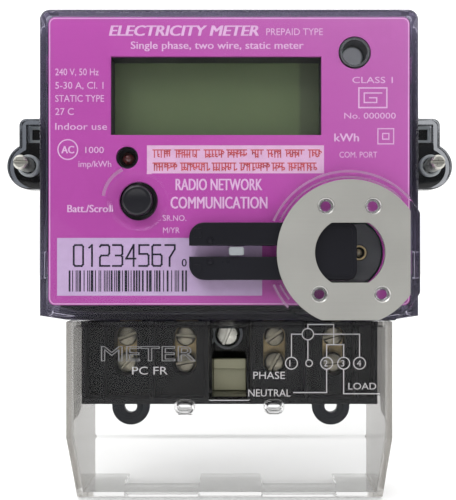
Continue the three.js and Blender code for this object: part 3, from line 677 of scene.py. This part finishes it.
def make_cover_details():
    """Raised lines on the moulded rims round the button and port, paler than the cover and laid
    only where the rims catch the light, so partly painted highlights; and the shutter's guide.
    """
    # Painted highlights: each line spans only the arc where its rim catches the light.
    lines = [bead(BUTTON.x, BUTTON.z, 11.5, 1.1, 116, 172, 55.95, 56.12)]
    outer, inner = (27.0, 0.8, (42, 157), (203, 222)), (25.1, 0.6, (46, 155), (205, 218))
    for r, width, *spans in (outer, inner):
        lines += [bead(PORT.x, PORT.z, r, width, *span, 57.5, 57.8) for span in spans]
    piece(crisp(merge(lines)), "painted_highlight_beads", "bead", "clear")
    # The guide is given the paler milky plastic, a painted highlight for the glare on its clear,
    # rounded top.
    stub = rounded(0, SHUTTER.z - 1.4, 5, SHUTTER.z + 1.4, 0.8, 6)
    piece(soft_slab(stub, 56.1, 60.2, 0.35, 3), "shutter_guide", "milky", "clear")


def make_cover_ears():
    """The sealing ears, each with a pocket and a screw's boss."""
    # The right ear takes the lighter copy of the smoky plastic, painted light for the light that
    # falls on that side.
    for s, side, finish in zip(SIDES, ("left", "right"), ("smoky", "painted_lit_smoky")):
        x, z = s * EAR.x, EAR.z
        ear = soft_slab(ear_outline(s, CASE.half + 0.02), COVER_BACK, EAR_FRONT, 0.5, 4)
        bore = pin(x, z, 2.6, COVER_BACK - 1, 42, steps=40)
        cut(ear, [bore, side_box(s, 65.6, 72.2, 9.4, 15.8, 34.8, 39.5)])
        piece(edged(ear, 0.15), "cover_ear_" + side, finish, "clear")
        near, far = sorted((s * 65.9, s * 71.9))
        hollow = rectangle(near + 1, 10.7, far - 1, 14.5)
        sill = ring(rectangle(near, 9.7, far, 15.5), hollow, 34.9, 35.5)
        piece(edged(sill, 0.1), "ear_sill_" + side, "milky", "clear")
        profile = [(3.9, 38.6), (3.9, 40.6), (3.5, 41), (2.95, 41), (2.75, 40.7), (2.7, 38.6)]
        boss = cut(turned(x, z, profile), [pin(x, z, 2.65, 38, 42)])
        # The bosses take the paler milky plastic, partly a painted highlight for the light on
        # their clear rims.
        piece(boss, "ear_boss_" + side, "milky", "clear")


def make_tamper_post():
    """The cover switch's sleeve and plunger, seen through the plate."""
    x, z = TAMPER.x, TAMPER.z
    lip = ring(circle(x, z, 4.6), circle(x, z, 3.75), 45.5, 46)
    # The sleeve's dark grey is partly painted shade: it keeps the recess round the plunger dark.
    tube = join(ring(circle(x, z, 5), circle(x, z, 4.2), 45.5, 53.7), [lip])
    piece(edged(tube, 0.12), "switch_sleeve", "graphite", "dark_grey_plastic")
    profile = [(3.6, 40.3), (3.6, 46.2), (3.45, 46.6), (3.1, 46.8), (2.6, 46.75), (0.1, 46.6)]
    plunger = turned(x, z, profile, 56)
    piece(edged(plunger, 0.1), "switch_plunger", "grey", "dark_grey_plastic")


def thread(r, start, end, pitch=0.6, depth=0.28):
    """Profile points of a threaded shank, from its tip at depth start to depth end."""
    d = start + 0.35
    points = [(r - depth - 0.3, start), (r - depth, d)]
    while d + pitch < end - 0.5:
        points += [(r, d + pitch * 0.5), (r - depth, d + pitch)]
        d += pitch
    return points + [(r - depth, end)]


def make_seal_screws():
    """Slotted screws drilled for a seal's wire, and their nuts."""
    for s, side in zip(SIDES, ("left", "right")):
        x, z = s * EAR.x, EAR.z
        head = [(1.45, 41.3), (2.5, 41.3), (2.5, 51.3), (1.9, 52), (0.1, 52)]
        screw = turned(x, z, thread(1.75, 22.5, 33) + head, 48)
        slot = box(x - 3, x + 3, z - 0.45, z + 0.45, 50.8, 53)
        cut(screw, [slot, side_solid(circle(48, z, 0.7, 24), x - 4, x + 4)])
        steel = ("bright", "plated_steel", "seal_screw_" + side)
        piece(edged(screw, 0.12), "sealing_screw_" + side, *steel)
        nut = cut(slab(circle(x, z, 3, 6), 21, 27.8), [pin(x, z, 2.05, 20, 29, steps=40)])
        piece(edged(nut), "captive_nut_" + side, *BRASS, "seal_nut_" + side)


# ---- name plate and its print


def make_plate():
    """The magenta plate on four legs."""
    outline = rounded(PLATE.x0, PLATE.z0, PLATE.x1, PLATE.z1, 2.2)
    plate = slab(outline, PLATE_BACK, PLATE.front)
    leg = (33.8, PLATE_BACK + 0.5)
    join(plate, [side_box(s, 58.4, 60.1, z - 4, z + 4, *leg) for s in SIDES for z in (34, -33)])
    x0, z0, x1, z1 = WINDOW
    through = (50, 55)
    openings = [
        box(x0, x1, z0, z1, *through),
        pin(LED.x, LED.z, 3.7, *through),
        pin(BUTTON.x, BUTTON.z, 6.5, *through),
        pin(TAMPER.x, TAMPER.z, 5.4, *through),
        slab(flattened(PORT.x, PORT.z, 12.1, 10.4), *through),
    ]
    cut(plate, openings)
    piece(edged(plate, 0.15), "face_plate", "magenta", "face_magenta", "name_plate")


# The marks made so far, under their ink's material.
INK = {}
# Neighbouring marks differ in height, so that no two lie in one plane.
LIFTS = itertools.cycle((0.03, 0.04, 0.05, 0.06, 0.07))
CAPITALS = 0.7  # a capital's height in the font, as a share of its size


def add_mark(ink, obj):
    INK.setdefault(ink, []).append(obj)


def text(words, x, z, height, ink, width=None, depth=PLATE.front, bold=0, slant=0, hollow=False):
    """Flat lettering from x on, whose capitals are `height` tall with their middle at z."""
    curve = bpy.data.curves.new("text", "FONT")
    curve.body = words
    curve.size = height * MM / CAPITALS
    curve.resolution_u = 3
    curve.shear = slant
    if hollow:
        curve.fill_mode = "NONE"
        curve.bevel_depth = 0.13 * MM
        curve.bevel_resolution = 1
    else:
        curve.extrude = 0.02 * MM
    holder = place_in_scene("text", curve)
    mesh = final_mesh(holder)
    bpy.data.objects.remove(holder)
    xs = [v.co.x for v in mesh.vertices]
    span = max(xs) - min(xs)
    stretch = width * MM / span if width else 1.0
    shift = Matrix.Translation((-min(xs) * stretch, 0, 0))
    turn = Matrix.Rotation(math.pi / 2, 4, "X") @ Matrix.Diagonal((stretch, 1, 1, 1))
    for step in (-0.5, 0.5) if bold else (0,):
        copy = mesh.copy()
        start = spot(x + step * bold, depth + 0.05 + 0.02 * step, z - height / 2)
        copy.transform(Matrix.Translation(start) @ shift @ turn)
        add_mark(ink, place_in_scene("text", copy))


def mark(outline, ink, depth=PLATE.front):
    """A flat printed shape."""
    lift = next(LIFTS)
    add_mark(ink, slab(outline, depth + lift, depth + lift + 0.04))


def sticker(x0, z0, x1, z1, stock):
    """A label, flat under its print."""
    add_mark(stock, slab(rectangle(x0, z0, x1, z1), PLATE.front + 0.01, PLATE.front + 0.04))


def stroke(x0, z0, x1, z1, width, ink, depth=PLATE.front):
    """A straight printed line of a given width."""
    length = math.hypot(x1 - x0, z1 - z0)
    ux, uz = (x1 - x0) / length * width / 2, (z1 - z0) / length * width / 2
    x0, z0, x1, z1 = x0 - ux, z0 - uz, x1 + ux, z1 + uz
    corners = [(x0 + uz, z0 - ux), (x1 + uz, z1 - ux), (x1 - uz, z1 + ux), (x0 - uz, z0 + ux)]
    mark(corners, ink, depth)


def path(points, width, ink, depth=PLATE.front):
    """Joined straight strokes through points."""
    for start, end in zip(points, points[1:]):
        stroke(*start, *end, width, ink, depth)


def frame_mark(x0, z0, x1, z1, width, ink):
    """A printed rectangle's outline."""
    corners = rectangle(x0, z0, x1, z1)
    path(corners + corners[:1], width, ink)


def ring_mark(x, z, r, width, ink, depth=PLATE.front):
    """A printed circle."""
    outer, inner = circle(x, z, r, 40), circle(x, z, r - width, 40)
    add_mark(ink, ring(outer, inner, depth + 0.03, depth + 0.07))


# Each digit of the serial number as a line through points (x, z) on a grid two wide, four high.
DIGITS = {
    "0": "0.3,0 1.7,0 2,0.3 2,3.7 1.7,4 0.3,4 0,3.7 0,0.3 0.3,0",
    "1": "0.5,3.5 1.1,4 1.1,0",
    "2": "0,3.7 0.3,4 1.7,4 2,3.7 2,2.4 1.7,2 0.3,2 0,1.6 0,0 2,0",
    "3": "0,4 1.7,4 2,3.7 2,2.3 1.7,2 0.6,2 1.7,2 2,1.7 2,0.3 1.7,0 0,0",
    "4": "1.6,0 1.6,4 0,1.4 2,1.4",
    "5": "2,4 0,4 0,2.3 1.7,2.3 2,2 2,0.3 1.7,0 0,0",
    "6": "1.7,4 0.3,4 0,3.7 0,0.3 0.3,0 1.7,0 2,0.3 2,1.9 1.7,2.2 0,2.2",
    "7": "0,4 2,4 2,3.2 0.9,1.6 0.9,0",
}


def serial(digits, x, z, height, pitch, width, ink):
    """Counter-style digits standing on z, drawn as chamfered strokes."""
    for i, digit in enumerate(digits):
        points = [map(float, point.split(",")) for point in DIGITS[digit].split()]
        left = x + i * pitch
        line = [(left + px * height * 0.225, z + pz * height / 4) for px, pz in points]
        path(line, width, ink)


def script_line(x0, x1, z, height, ink, seed):
    """Strokes hung from bars, in word lengths: they stand for a line of print, and say nothing."""
    rng = random.Random(seed)
    x, thick, top, bow = x0, height * 0.11, z + height * 0.32, 0.42
    while x < x1 - 3:
        end = min(x + rng.uniform(3.5, 10), x1)
        stroke(x, top, end, top, thick, ink)
        px = x + 0.5
        while px < end:
            stroke(px, top, px, z - height * rng.choice((0.42, 0.42, 0.3, 0.1)), thick, ink)
            if rng.random() < 0.75:
                start = rng.choice((-90, 0, 90, 180))
                level = z + height * rng.choice((0.06, -0.06, -0.24))
                turn = arc(px + bow, level, bow, start, start + rng.uniform(150, 290), 5)
                path(turn, thick, ink)
            px += rng.uniform(0.8, 1.2)
        x = end + rng.uniform(1.0, 1.6)


def bar_code(x, end, z0, z1, ink):
    """Bars of random width: they stand for a code, and say nothing."""
    rng = random.Random(5)
    while x < end:
        w = rng.choice((0.3, 0.3, 0.6, 0.9))
        mark(rectangle(x, z0, x + w, z1), ink)
        x += w + rng.choice((0.28, 0.28, 0.56, 0.9))


def make_print():
    """The plate's edge line, generic wording and labels."""
    pale = "ink_pale"
    half, low, top = PLATE.x1 - 0.3, PLATE.z0 + 0.3, PLATE.z1 - 0.3
    line = 0.28
    inner = rounded(-half + line, low + line, half - line, top - line, 2 - line)
    outer = rounded(-half, low, half, top, 2)
    add_mark(pale, ring(outer, inner, PLATE.front + 0.03, PLATE.front + 0.06))
    text("ELECTRICITY METER", -40.2, 44.9, 3.5, pale, 50, bold=0.4, slant=0.2)
    text("PREPAID TYPE", 12.5, 44.5, 2.3, pale, 19)
    text("Single phase, two wire, static meter", -33, 40.0, 2.5, pale, 58, bold=0.12)
    rows = [
        ("240 V, 50 Hz", 31.0, 14.6),
        ("5-30 A, Cl. 1", 26.5, 16.2),
        ("STATIC TYPE", 22.1, 16.4),
        ("27 C", 17.7, 6.2),
        ("Indoor use", 12.7, 17.4),
    ]
    for words, z, width in rows:
        text(words, -58.4, z, 2.3, pale, width)
    ring_mark(-54.2, 4.9, 3.5, 0.38, pale)
    text("AC", -56.3, 4.9, 2.5, pale, 4.2, bold=0.2)
    text("1000", -48.3, 4.8, 2.1, pale, 6.2)
    text("imp/kWh", -50.6, 0.1, 2.1, pale, 11)
    sticker(-27.6, -3.1, 31.9, 6.3, "pale_label")
    for z, seed in ((3.7, 41), (-0.7, 42)):
        script_line(-25.6, 30.4, z, 3.3, "ink_red", seed)
    text("RADIO NETWORK", -17.9, -6.8, 3.9, pale, 29, bold=0.22)
    text("COMMUNICATION", -19.6, -12.9, 4.0, pale, 32.4, bold=0.22)
    text("SR.NO.", -22.2, -18.1, 1.9, pale, 7.8)
    text("M/YR", -22.2, -22.2, 1.9, pale, 5.6)
    text("Batt./Scroll", -54.3, -14.9, 2.5, pale, 15, bold=0.16)
    sticker(-57.8, -44.2, 11.1, -24.8, "label")
    serial("01234567", -52.2, -34.2, 7.0, 4.4, 0.62, "ink_black")
    text("0", -15.9, -33.1, 2.6, "ink_black", bold=0.1)
    bar_code(-53.9, -13.8, -42.8, -35.7, "ink_black")
    text("CLASS 1", 41.4, 28.3, 2.1, pale, 13.6)
    frame_mark(43.6, 19.0, 53.0, 25.6, 0.45, pale)
    spiral = [(51.3, 23.9), (45.4, 23.9), (45.4, 20.7), (49.6, 20.7), (49.6, 22.3), (47.2, 22.3)]
    path(spiral, 0.4, pale)
    text("No. 000000", 38.7, 16.3, 2.0, pale, 17.3)
    text("kWh", 35.4, 9.0, 2.7, pale, 8.2, bold=0.16)
    frame_mark(50.0, 6.8, 55.3, 11.9, 0.35, pale)
    frame_mark(51.6, 8.4, 53.7, 10.3, 0.35, pale)
    text("COM. PORT", 37.1, 3.2, 2.0, pale, 12.7)


def collect_print():
    """Joins the marks of each ink into one piece, which rides with what it is printed on."""
    labels = (("label", "serial_label"), ("pale_label", "notice_label"))
    inks = (("ink_pale", "pale_print"), ("ink_red", "red_print"), ("ink_black", "black_print"))
    for ink, name in labels + inks:
        piece(merge(INK[ink]), name, ink, "face_magenta")
    for ink, name in (("ink_grey", "wiring_print"), ("relief", "painted_word_edge_shade")):
        piece(merge(INK[ink]), name, ink, "clear", body=HOOD_BODY)


# ---- display, button, lamp


def make_display():
    """The bezel, and the liquid-crystal panel behind it."""
    outer = rectangle(BEZEL.x0, BEZEL.z0, BEZEL.x1, BEZEL.z1)
    tube = ring(outer, rectangle(*WINDOW), BEZEL.back, BEZEL.front)
    piece(edged(tube, 0.3), "display_bezel", "black", "lcd_frame", "lcd_bezel")
    film = extent("lcd_panel")
    glass = box(film.x0, film.x1, film.z0, film.z1, film.back, film.front)
    piece(edged(glass, 0.15), "display_panel", "lcd", "lcd_glass", "lcd_panel")


def dome(r, depth, height, steps):
    """Profile points of a quarter turn that closes a turned piece."""
    angles = [math.pi / 2 * i / steps for i in range(steps + 1)]
    return [(r * math.cos(a), depth + height * math.sin(a)) for a in angles]


def make_button():
    """A stem, a flange under the cover, and a dished cap with a round edge."""
    r, front, edge, name = 5.1, 56.9, 0.9, "scroll_button"
    profile = [(0.1, 41.3), (1.6, 41.3), (1.6, 49.9), (7.4, 49.9), (7.4, 51.3), (r, 51.3)]
    profile.append((r, front))
    for a in (0.4, 0.8, 1.2, 1.57):
        profile.append((r - edge * (1 - math.cos(a)), front + edge * math.sin(a)))
    profile += [(3.6, 57.72), (2.6, 57.62), (1.4, 57.55), (0.1, 57.52)]
    cap = edged(turned(BUTTON.x, BUTTON.z, profile, 72), 0.15, angle=40)
    piece(cap, "push_button", "button", "button_black", name, name)


def make_lamp():
    foot = [(0.1, 44), (2.9, 44), (2.9, 45), (2.5, 45.05)]
    lamp = turned(LED.x, LED.z, foot + dome(2.5, 48.6, 2.6, 10), 48)
    piece(edged(lamp, 0.1, angle=40), "pulse_lens", "lens", "lens_red", "pulse_lamp")


# ---- optical port


def make_port():
    """The steel disc with its countersunk holes, and the optical block behind its opening."""
    x, z = PORT.x, PORT.z
    plate = pin(x, z, 24, DISC.back, DISC.front, steps=160)
    through, far = (59, 63), 40
    cuts = [
        slab(flattened(x, z, 11.5, 9.8, 40), *through),
        box(DISC.x1, DISC.x1 + 20, z - far, z + far, *through),
        box(x - far, x + far, z - far, DISC.z0, *through),
    ]
    for stud in STUDS:
        cuts += [pin(*stud, 1.65, *through, steps=40), pin(*stud, 1.65, 60.4, 61.6, 3.05, 40)]
    cut(plate, cuts)
    piece(edged(plate, 0.12, angle=40), "satin_disc", "steel", "port_steel", "port_plate")
    liners = []
    for stud in STUDS:
        bore = pin(*stud, 1.3, 60.2, 61.65, 2.9, 48)
        liners.append(cut(pin(*stud, 1.63, 60.4, 61.45, 2.8, 48), [bore]))
    piece(crisp(merge(liners)), "polished_countersinks", "polished", "port_steel")
    holder = slab(flattened(x, z, 11.6, 9.9, 40), 33.9, 52.9)
    wells, eye_x = [], 4.1
    for s in SIDES:
        wells.append(pin(x + s * eye_x, z, 1.8, 30, 54, steps=40))
        wells.append(pin(x + s * eye_x, z, 1.8, 51.9, 53, 2.9, 40))
    cut(holder, wells)
    piece(edged(holder), "optical_block", "graphite", "dark_grey_plastic", "port_holder")
    eyes = (
        (-1, "infrared_emitter", "white", "white_plastic"),
        (1, "infrared_receiver", "amber", "lens_red"),
    )
    for s, name, finish, slot in eyes:
        middle = x + s * eye_x
        eye = turned(middle, z, [(0.1, 34.5), (1.5, 34.5)] + dome(1.5, 49.6, 1.5, 8), 40)
        piece(edged(eye, 0.08, angle=45), name + "_lens", finish, slot, name)
        rim = ring(circle(middle, z, 2.5), circle(middle, z, 1.9), 52.0, 52.75)
        piece(edged(rim, 0.08), name + "_rim", "brass", "lens_red")


def make_shutter():
    """Two arms with studs and grips, joined by a plate with a raised pad."""
    left, right, z = SHUTTER.x0, SHUTTER.x1, SHUTTER.z
    top, low = SHUTTER.z1, SHUTTER.z0
    near_r, far_r, half, slot_end = 5, 3, 1.8, 20
    outline = (
        arc(left + near_r, low + near_r, near_r, 180, 270, 14)
        + arc(right - far_r, low + far_r, far_r, 270, 360, 10)
        + arc(right - far_r, top - far_r, far_r, 0, 90, 10)
        + arc(left + near_r, top - near_r, near_r, 90, 180, 14)
        + [(left, z + half)]
        + arc(slot_end, z, half, 90, -90, 16)
        + [(left, z - half)]
    )
    shapes = [soft_slab(outline, SHUTTER.back, SHUTTER_FRONT, 0.45, 4)]
    face, middle = 59.5, 6
    stud = [(1.0, face), (1.0, 60.0), (0.85, 60.3), (0.1, 60.4)]
    for s in SIDES:
        shapes.append(turned(left + 7, z + s * (half + 1.7), stud, 32))
        grip = rounded(left + 1.6, z + s * middle - 1.6, left + 4.2, z + s * middle + 1.6, 0.5)
        shapes.append(soft_slab(grip, face, 59.9, 0.15, 2))
    pad = rounded(right - 16, z - 8, right - 1.6, z + 8, 1.8)
    shapes.append(soft_slab(pad, face, 59.82, 0.12, 2))
    name = "port_shutter"
    piece(merge(shapes), "sliding_shutter", "black", "black_plastic", name, name)


# ---- terminals


def make_block():
    """The terminal block with its ribs and screw wells."""
    left, right, low, top = BLOCK_LEFT.x0, BLOCK_RIGHT.x1, BLOCK_LEFT.z0, BLOCK_LEFT.z1
    block = box(left, right, low, top, BLOCK_LEFT.back, 36)
    rib = (35, BLOCK_LEFT.front)
    rib_x = [s * x for x in (51.3, 44.6, 27.3, 8.3) for s in SIDES]
    ribs = [box(x - 0.7, x + 0.7, low, top, *rib) for x in rib_x]
    join(block, ribs + [box(left + 0.1, right - 0.1, low, low + 2.2, *rib)])
    cuts, room = [], 0.3
    for t in TERMINALS:
        cuts += [
            box(t.x - 5.5, t.x + 5.5, t.z0 - room, top + 1, t.back - room, t.front + room),
            upright(t.x, WIRE_DEPTH, 4.6, low - 1, t.z0),
            slab(slot_up(t.x, SCREWS["1b"].z, SCREWS["1a"].z, 4.1), WIRE_DEPTH, 37),
        ]
    hx, hz = HOOD_SCREW.x, HOOD_SCREW.z
    cuts.append(box(-7.6, 7.6, -80.6, top + 1, 22, 42.2))
    cuts += [pin(hx, hz, 3.6, 1.8, 20.4), pin(hx, hz, 2.2, 20, 23)]
    cut(block, cuts)
    sections = ("terminal_block_left", "terminal_bridge", "terminal_block_right")
    piece(edged(block, 0.22), "terminal_housing", "block", "block_black", sections)


def make_terminals():
    """The brass terminals, bored for wire and screws, and the hood screw's insert."""
    for i, t in enumerate(TERMINALS, 1):
        bar = box(t.x - 5.2, t.x + 5.2, t.z0, -55.5, t.back, t.front)
        join(bar, [box(t.x - 4, t.x + 4, -56.5, t.z1, 20.4, 22.4)])
        holes = [pin(t.x, SCREWS["1" + row].z, 2.45, WIRE_DEPTH, 30, steps=48) for row in "ab"]
        cut(bar, [upright(t.x, WIRE_DEPTH, 3.75, -81, -57.5)] + holes)
        piece(edged(bar), f"brass_terminal_{i}", *BRASS, f"terminal_{i}")
    hx, hz = HOOD_SCREW.x, HOOD_SCREW.z
    hub = cut(pin(hx, hz, 3.3, 10, 20.1), [pin(hx, hz, 2, 9, 21, steps=40)])
    piece(edged(hub), "threaded_insert", *BRASS, "hood_screw_insert")


def slotted_screw(x, z, head, shank, tip, seat, height, angle):
    """A cheese-head screw from the depth of its tip, with its head seated at another."""
    top = seat + height
    profile = thread(shank, tip, seat - 0.6)
    profile += [(shank - 0.28, seat), (head - 0.1, seat), (head, seat + 0.15)]
    profile += [(head, top - 0.75), (head - 0.12, top - 0.4), (head - 0.35, top - 0.15)]
    profile += [(head - 0.75, top), (0.1, top)]
    body = turned(0, 0, profile, 56)
    slot = box(-head - 1, head + 1, -0.55, 0.55, top - 1.3, top + 1)
    cut(body, [slot])
    turn = Matrix.Rotation(math.radians(angle), 4, "Y")
    body.data.transform(Matrix.Translation(spot(x, 0, z)) @ turn)
    return edged(body, 0.12, angle=40)


def make_screws():
    """The terminal screws and the terminal cover's screw, turned as in the photograph."""
    angles = {"1a": -20, "1b": -50, "2a": 5, "2b": -10, "3a": -35, "3b": -60, "4a": -15, "4b": -5}
    for key, angle in angles.items():
        at, name = SCREWS[key], f"terminal_screw_{key}"
        screw = slotted_screw(at.x, at.z, 3.6, 2.15, at.back, at.front - 2.6, 2.6, angle)
        piece(screw, "cheese_head_" + key, "nickel", "plated_steel", name, name)
    at, name = HOOD_SCREW, "terminal_cover_screw"
    screw = slotted_screw(at.x, at.z, 4.2, 1.7, at.back, at.front - 4, 4, -68)
    piece(screw, "cheese_head_cover", "bright", "plated_steel", name, name)


def hood_side(inset, back):
    """The terminal cover's side view, drawn in by `inset`."""
    front, top, bottom = HOOD_FRONT - inset, HOOD.z1 - inset, HOOD.z0 + inset
    slope = [(front, -93 + 0.45 * inset), (31 - 0.6 * inset, bottom)]
    return [(back, top), (front, top), *slope, (back, bottom)]


def make_hood():
    """The clear terminal cover, with two seal eyes and openings for the wires."""
    shell = side_solid(hood_side(0, HOOD.back), HOOD.x0, HOOD.x1)
    inner = side_solid(hood_side(2, HOOD.back - 1), HOOD.x0 + 2, HOOD.x1 - 2)
    over_block = box(-53.7, 53.7, HOOD.z1 - 3, HOOD.z1 + 1, 3, 41.6)
    cut(shell, [inner, over_block, box(-7, 7, -80, WELL_TOP, 49, 51)])
    eyes = []
    for x in (-15.3, 15.3):
        outer, inner = (slot_across(x, -82.5, 1.2, r) for r in (2.2, 1.3))
        eyes.append(ring(outer, inner, 42, 50.4))
    join(shell, eyes)
    mouths = [side_box(s, 12, 40, HOOD.z0 - 1, HOOD.z0 + 2.2, 3, 18) for s in SIDES]
    cut(shell, mouths + [box(-7, 7, -80, WELL_TOP, 47, 51)])
    piece(edged(shell, 0.35, 3), "clear_hood", "hood", "clear", HOOD_BODY, HOOD_BODY)


def make_sealing_well():
    """The well that holds the terminal cover's screw and a step for its seal."""
    x, z, half, inner = HOOD_SCREW.x, HOOD_SCREW.z, 6.95, 5.8
    well = box(-half, half, -71.9, WELL_TOP - 0.05, 24, 50)
    join(well, [box(-half, half, -79.95, -70.7, 34, 50)])
    hollow = box(-inner, inner, -70.7, WELL_TOP - 1.2, 26, 51)
    cut(well, [hollow, box(-inner, inner, -78.8, -70.2, 36, 51)])
    cut(well, [pin(x, z, 2.1, 22, 27, steps=48)])
    piece(edged(well, 0.25), "sealing_well", "hood", "clear", body=HOOD_BODY)
    collar = ring(circle(x, z, 5.6, 56), circle(x, z, 4.6, 56), 26.05, 28.2)
    piece(edged(collar), "screw_collar", "milky", "clear", body=HOOD_BODY)
    step = soft_slab(rounded(-5.75, -78.75, 5.75, -70.3, 0.3), 36.05, 37.2, 0.4, 3)
    lip = soft_slab(rounded(-5.75, -70.9, 5.75, -67.4, 0.5), 36.05, 38.4, 0.3, 3)
    piece(merge([step, lip]), "sealing_step", "frosted", "clear", body=HOOD_BODY)


def make_hood_print():
    """The terminal cover's wiring diagram and generic words."""
    d, ink = HOOD_FRONT, "ink_grey"
    # The embossed word is drawn as a thin grey outline: painted shade on the edges of the clear
    # raised letters.
    text("METER", -43.7, -64.1, 5.0, "relief", 32.5, d, hollow=True)
    text("PC FR", -33.1, -69.9, 2.7, ink, 12.1, d)
    text("PHASE", 8.2, -71.5, 2.5, ink, 10.8, d)
    text("NEUTRAL", 6.5, -77.5, 2.5, ink, 14.4, d)
    text("LOAD", 40.6, -75.2, 2.3, ink, 9.5, d)
    ring_mark(26.8, -57.5, 2.1, 0.35, ink, d)
    for x, r in ((21.2, 2.2), (27.2, 1.3), (33.2, 2.2), (39, 2.2), (44.4, 2.2)):
        ring_mark(x, -67.4, r, 0.35, ink, d)
    for x, digit in ((20.5, "1"), (32.2, "2"), (38.1, "3"), (43.5, "4")):
        text(digit, x, -67.4, 2.2, ink, depth=d)
    lines = [
        [(26.8, -55.4), (26.8, -54.2), (35.6, -54.2), (35.6, -60.9)],
        [(24.7, -57.5), (21.2, -57.5), (21.2, -65.2)],
        [(28.9, -57.5), (44.4, -57.5), (44.4, -65.2)],
        [(26.8, -59.6), (26.8, -66.1)],
        [(33.2, -65.2), (33.2, -61.1), (39, -61.1), (39, -65.2)],
        [(33.2, -69.6), (33.2, -77.4), (22, -77.4)],
        [(39, -69.6), (39, -77.8), (51.2, -77.8)],
    ]
    for line in lines:
        path(line, 0.34, ink, d)


# ---- carried-over inner parts


def dress_inner_parts():
    """Gives the CAD nodes that stay their materials."""
    looks = {
        "white": "lcd_backlight backup_battery",
        "nickel": "lcd_pin_row board_screw_1 board_screw_2 board_screw_3 board_screw_4",
        "bright": "button_spring radio_shield",
        "graphite": "tact_switch cover_switch film_capacitor latching_relay",
        "black": "lamp_sleeve processor_chip battery_cradle bulk_capacitor",
        "board": "main_board radio_board",
        "copper": "radio_antenna current_shunt",
        "ceramic": "surge_varistor",
        "brass": "neutral_link relay_strip",
    }
    for material, nodes in looks.items():
        for node in nodes.split():
            dress(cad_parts[node], material)


# ---- stage


def make_floor():
    bm = bmesh.new()
    bmesh.ops.create_grid(bm, x_segments=1, y_segments=1, size=4)
    floor = from_bmesh(bm)
    floor.name = "floor"
    floor.location.z = cad_box[0].z - 0.5 * MM
    m = Material("pale_floor", (0.9, 0.9, 0.9), 0.7)
    m.paint(m.noise(3, 3), (0.3, (0.89, 0.89, 0.892)), (0.7, (0.91, 0.91, 0.91)))
    floor.data.materials.append(m.mat)


# How bright the surroundings are, from straight in front of the object (0) to behind it (1).
WORLD_LEVELS = [(0.0, 0.16), (0.2, 0.2), (0.5, 0.6), (1.0, 1.0)]


def make_world():
    """Soft light all round, dim in front of the object so that dark parts stay dark."""
    world = bpy.data.worlds.new("studio")
    scene.world = world
    world.use_nodes = True
    n = Tree(world.node_tree, "Generated")
    split = n.axes()
    greys = [(at, (level,) * 3) for at, level in WORLD_LEVELS]
    around = n.ramp(n.spread(split["Y"], 0, 1, -1, 1), greys)
    total = n.math("MULTIPLY_ADD", around, 1.1, n.spread(split["Z"], 0, 1.1))
    background = world.node_tree.nodes["Background"]
    background.inputs["Color"].default_value = (1, 1, 1, 1)
    n.link(total, background.inputs["Strength"])
    scene.view_settings.view_transform = "Standard"


def lamp(name, place, target, size, power):
    """A rectangular lamp, in metres and watts."""
    light = bpy.data.lights.new(name, "AREA")
    light.shape = "RECTANGLE"
    light.size, light.size_y = size
    light.energy = power
    obj = place_in_scene(name, light)
    obj.location = place
    obj.rotation_euler = (Vector(target) - Vector(place)).to_track_quat("-Z", "Y").to_euler()


def make_lights():
    lamp("key_light", (-0.5, -0.7, 0.85), (0, -0.03, -0.02), (1.0, 0.8), 7.3)
    lamp("side_light", (0.85, -0.5, 0.35), (0, -0.03, -0.03), (0.4, 0.6), 2.2)


def make_camera():
    camera = bpy.data.cameras.new("camera")
    camera.sensor_width = 36
    camera.lens = 58.3
    camera.shift_x = -0.024
    camera.shift_y = 0.016
    camera.clip_start, camera.clip_end = 0.01, 20
    scene.camera = place_in_scene("camera", camera)
    scene.camera.location = spot(3.67, 326, -31.55)
    scene.camera.rotation_euler = (math.pi / 2, 0, 0)


make_base()
make_cover_shell()
make_cover_details()
make_cover_ears()
make_tamper_post()
make_seal_screws()
make_plate()
make_print()
make_hood_print()
collect_print()
make_display()
make_button()
make_lamp()
make_port()
make_shutter()
make_block()
make_terminals()
make_screws()
make_hood()
make_sealing_well()
dress_inner_parts()
make_floor()
make_world()
make_lights()
make_camera()
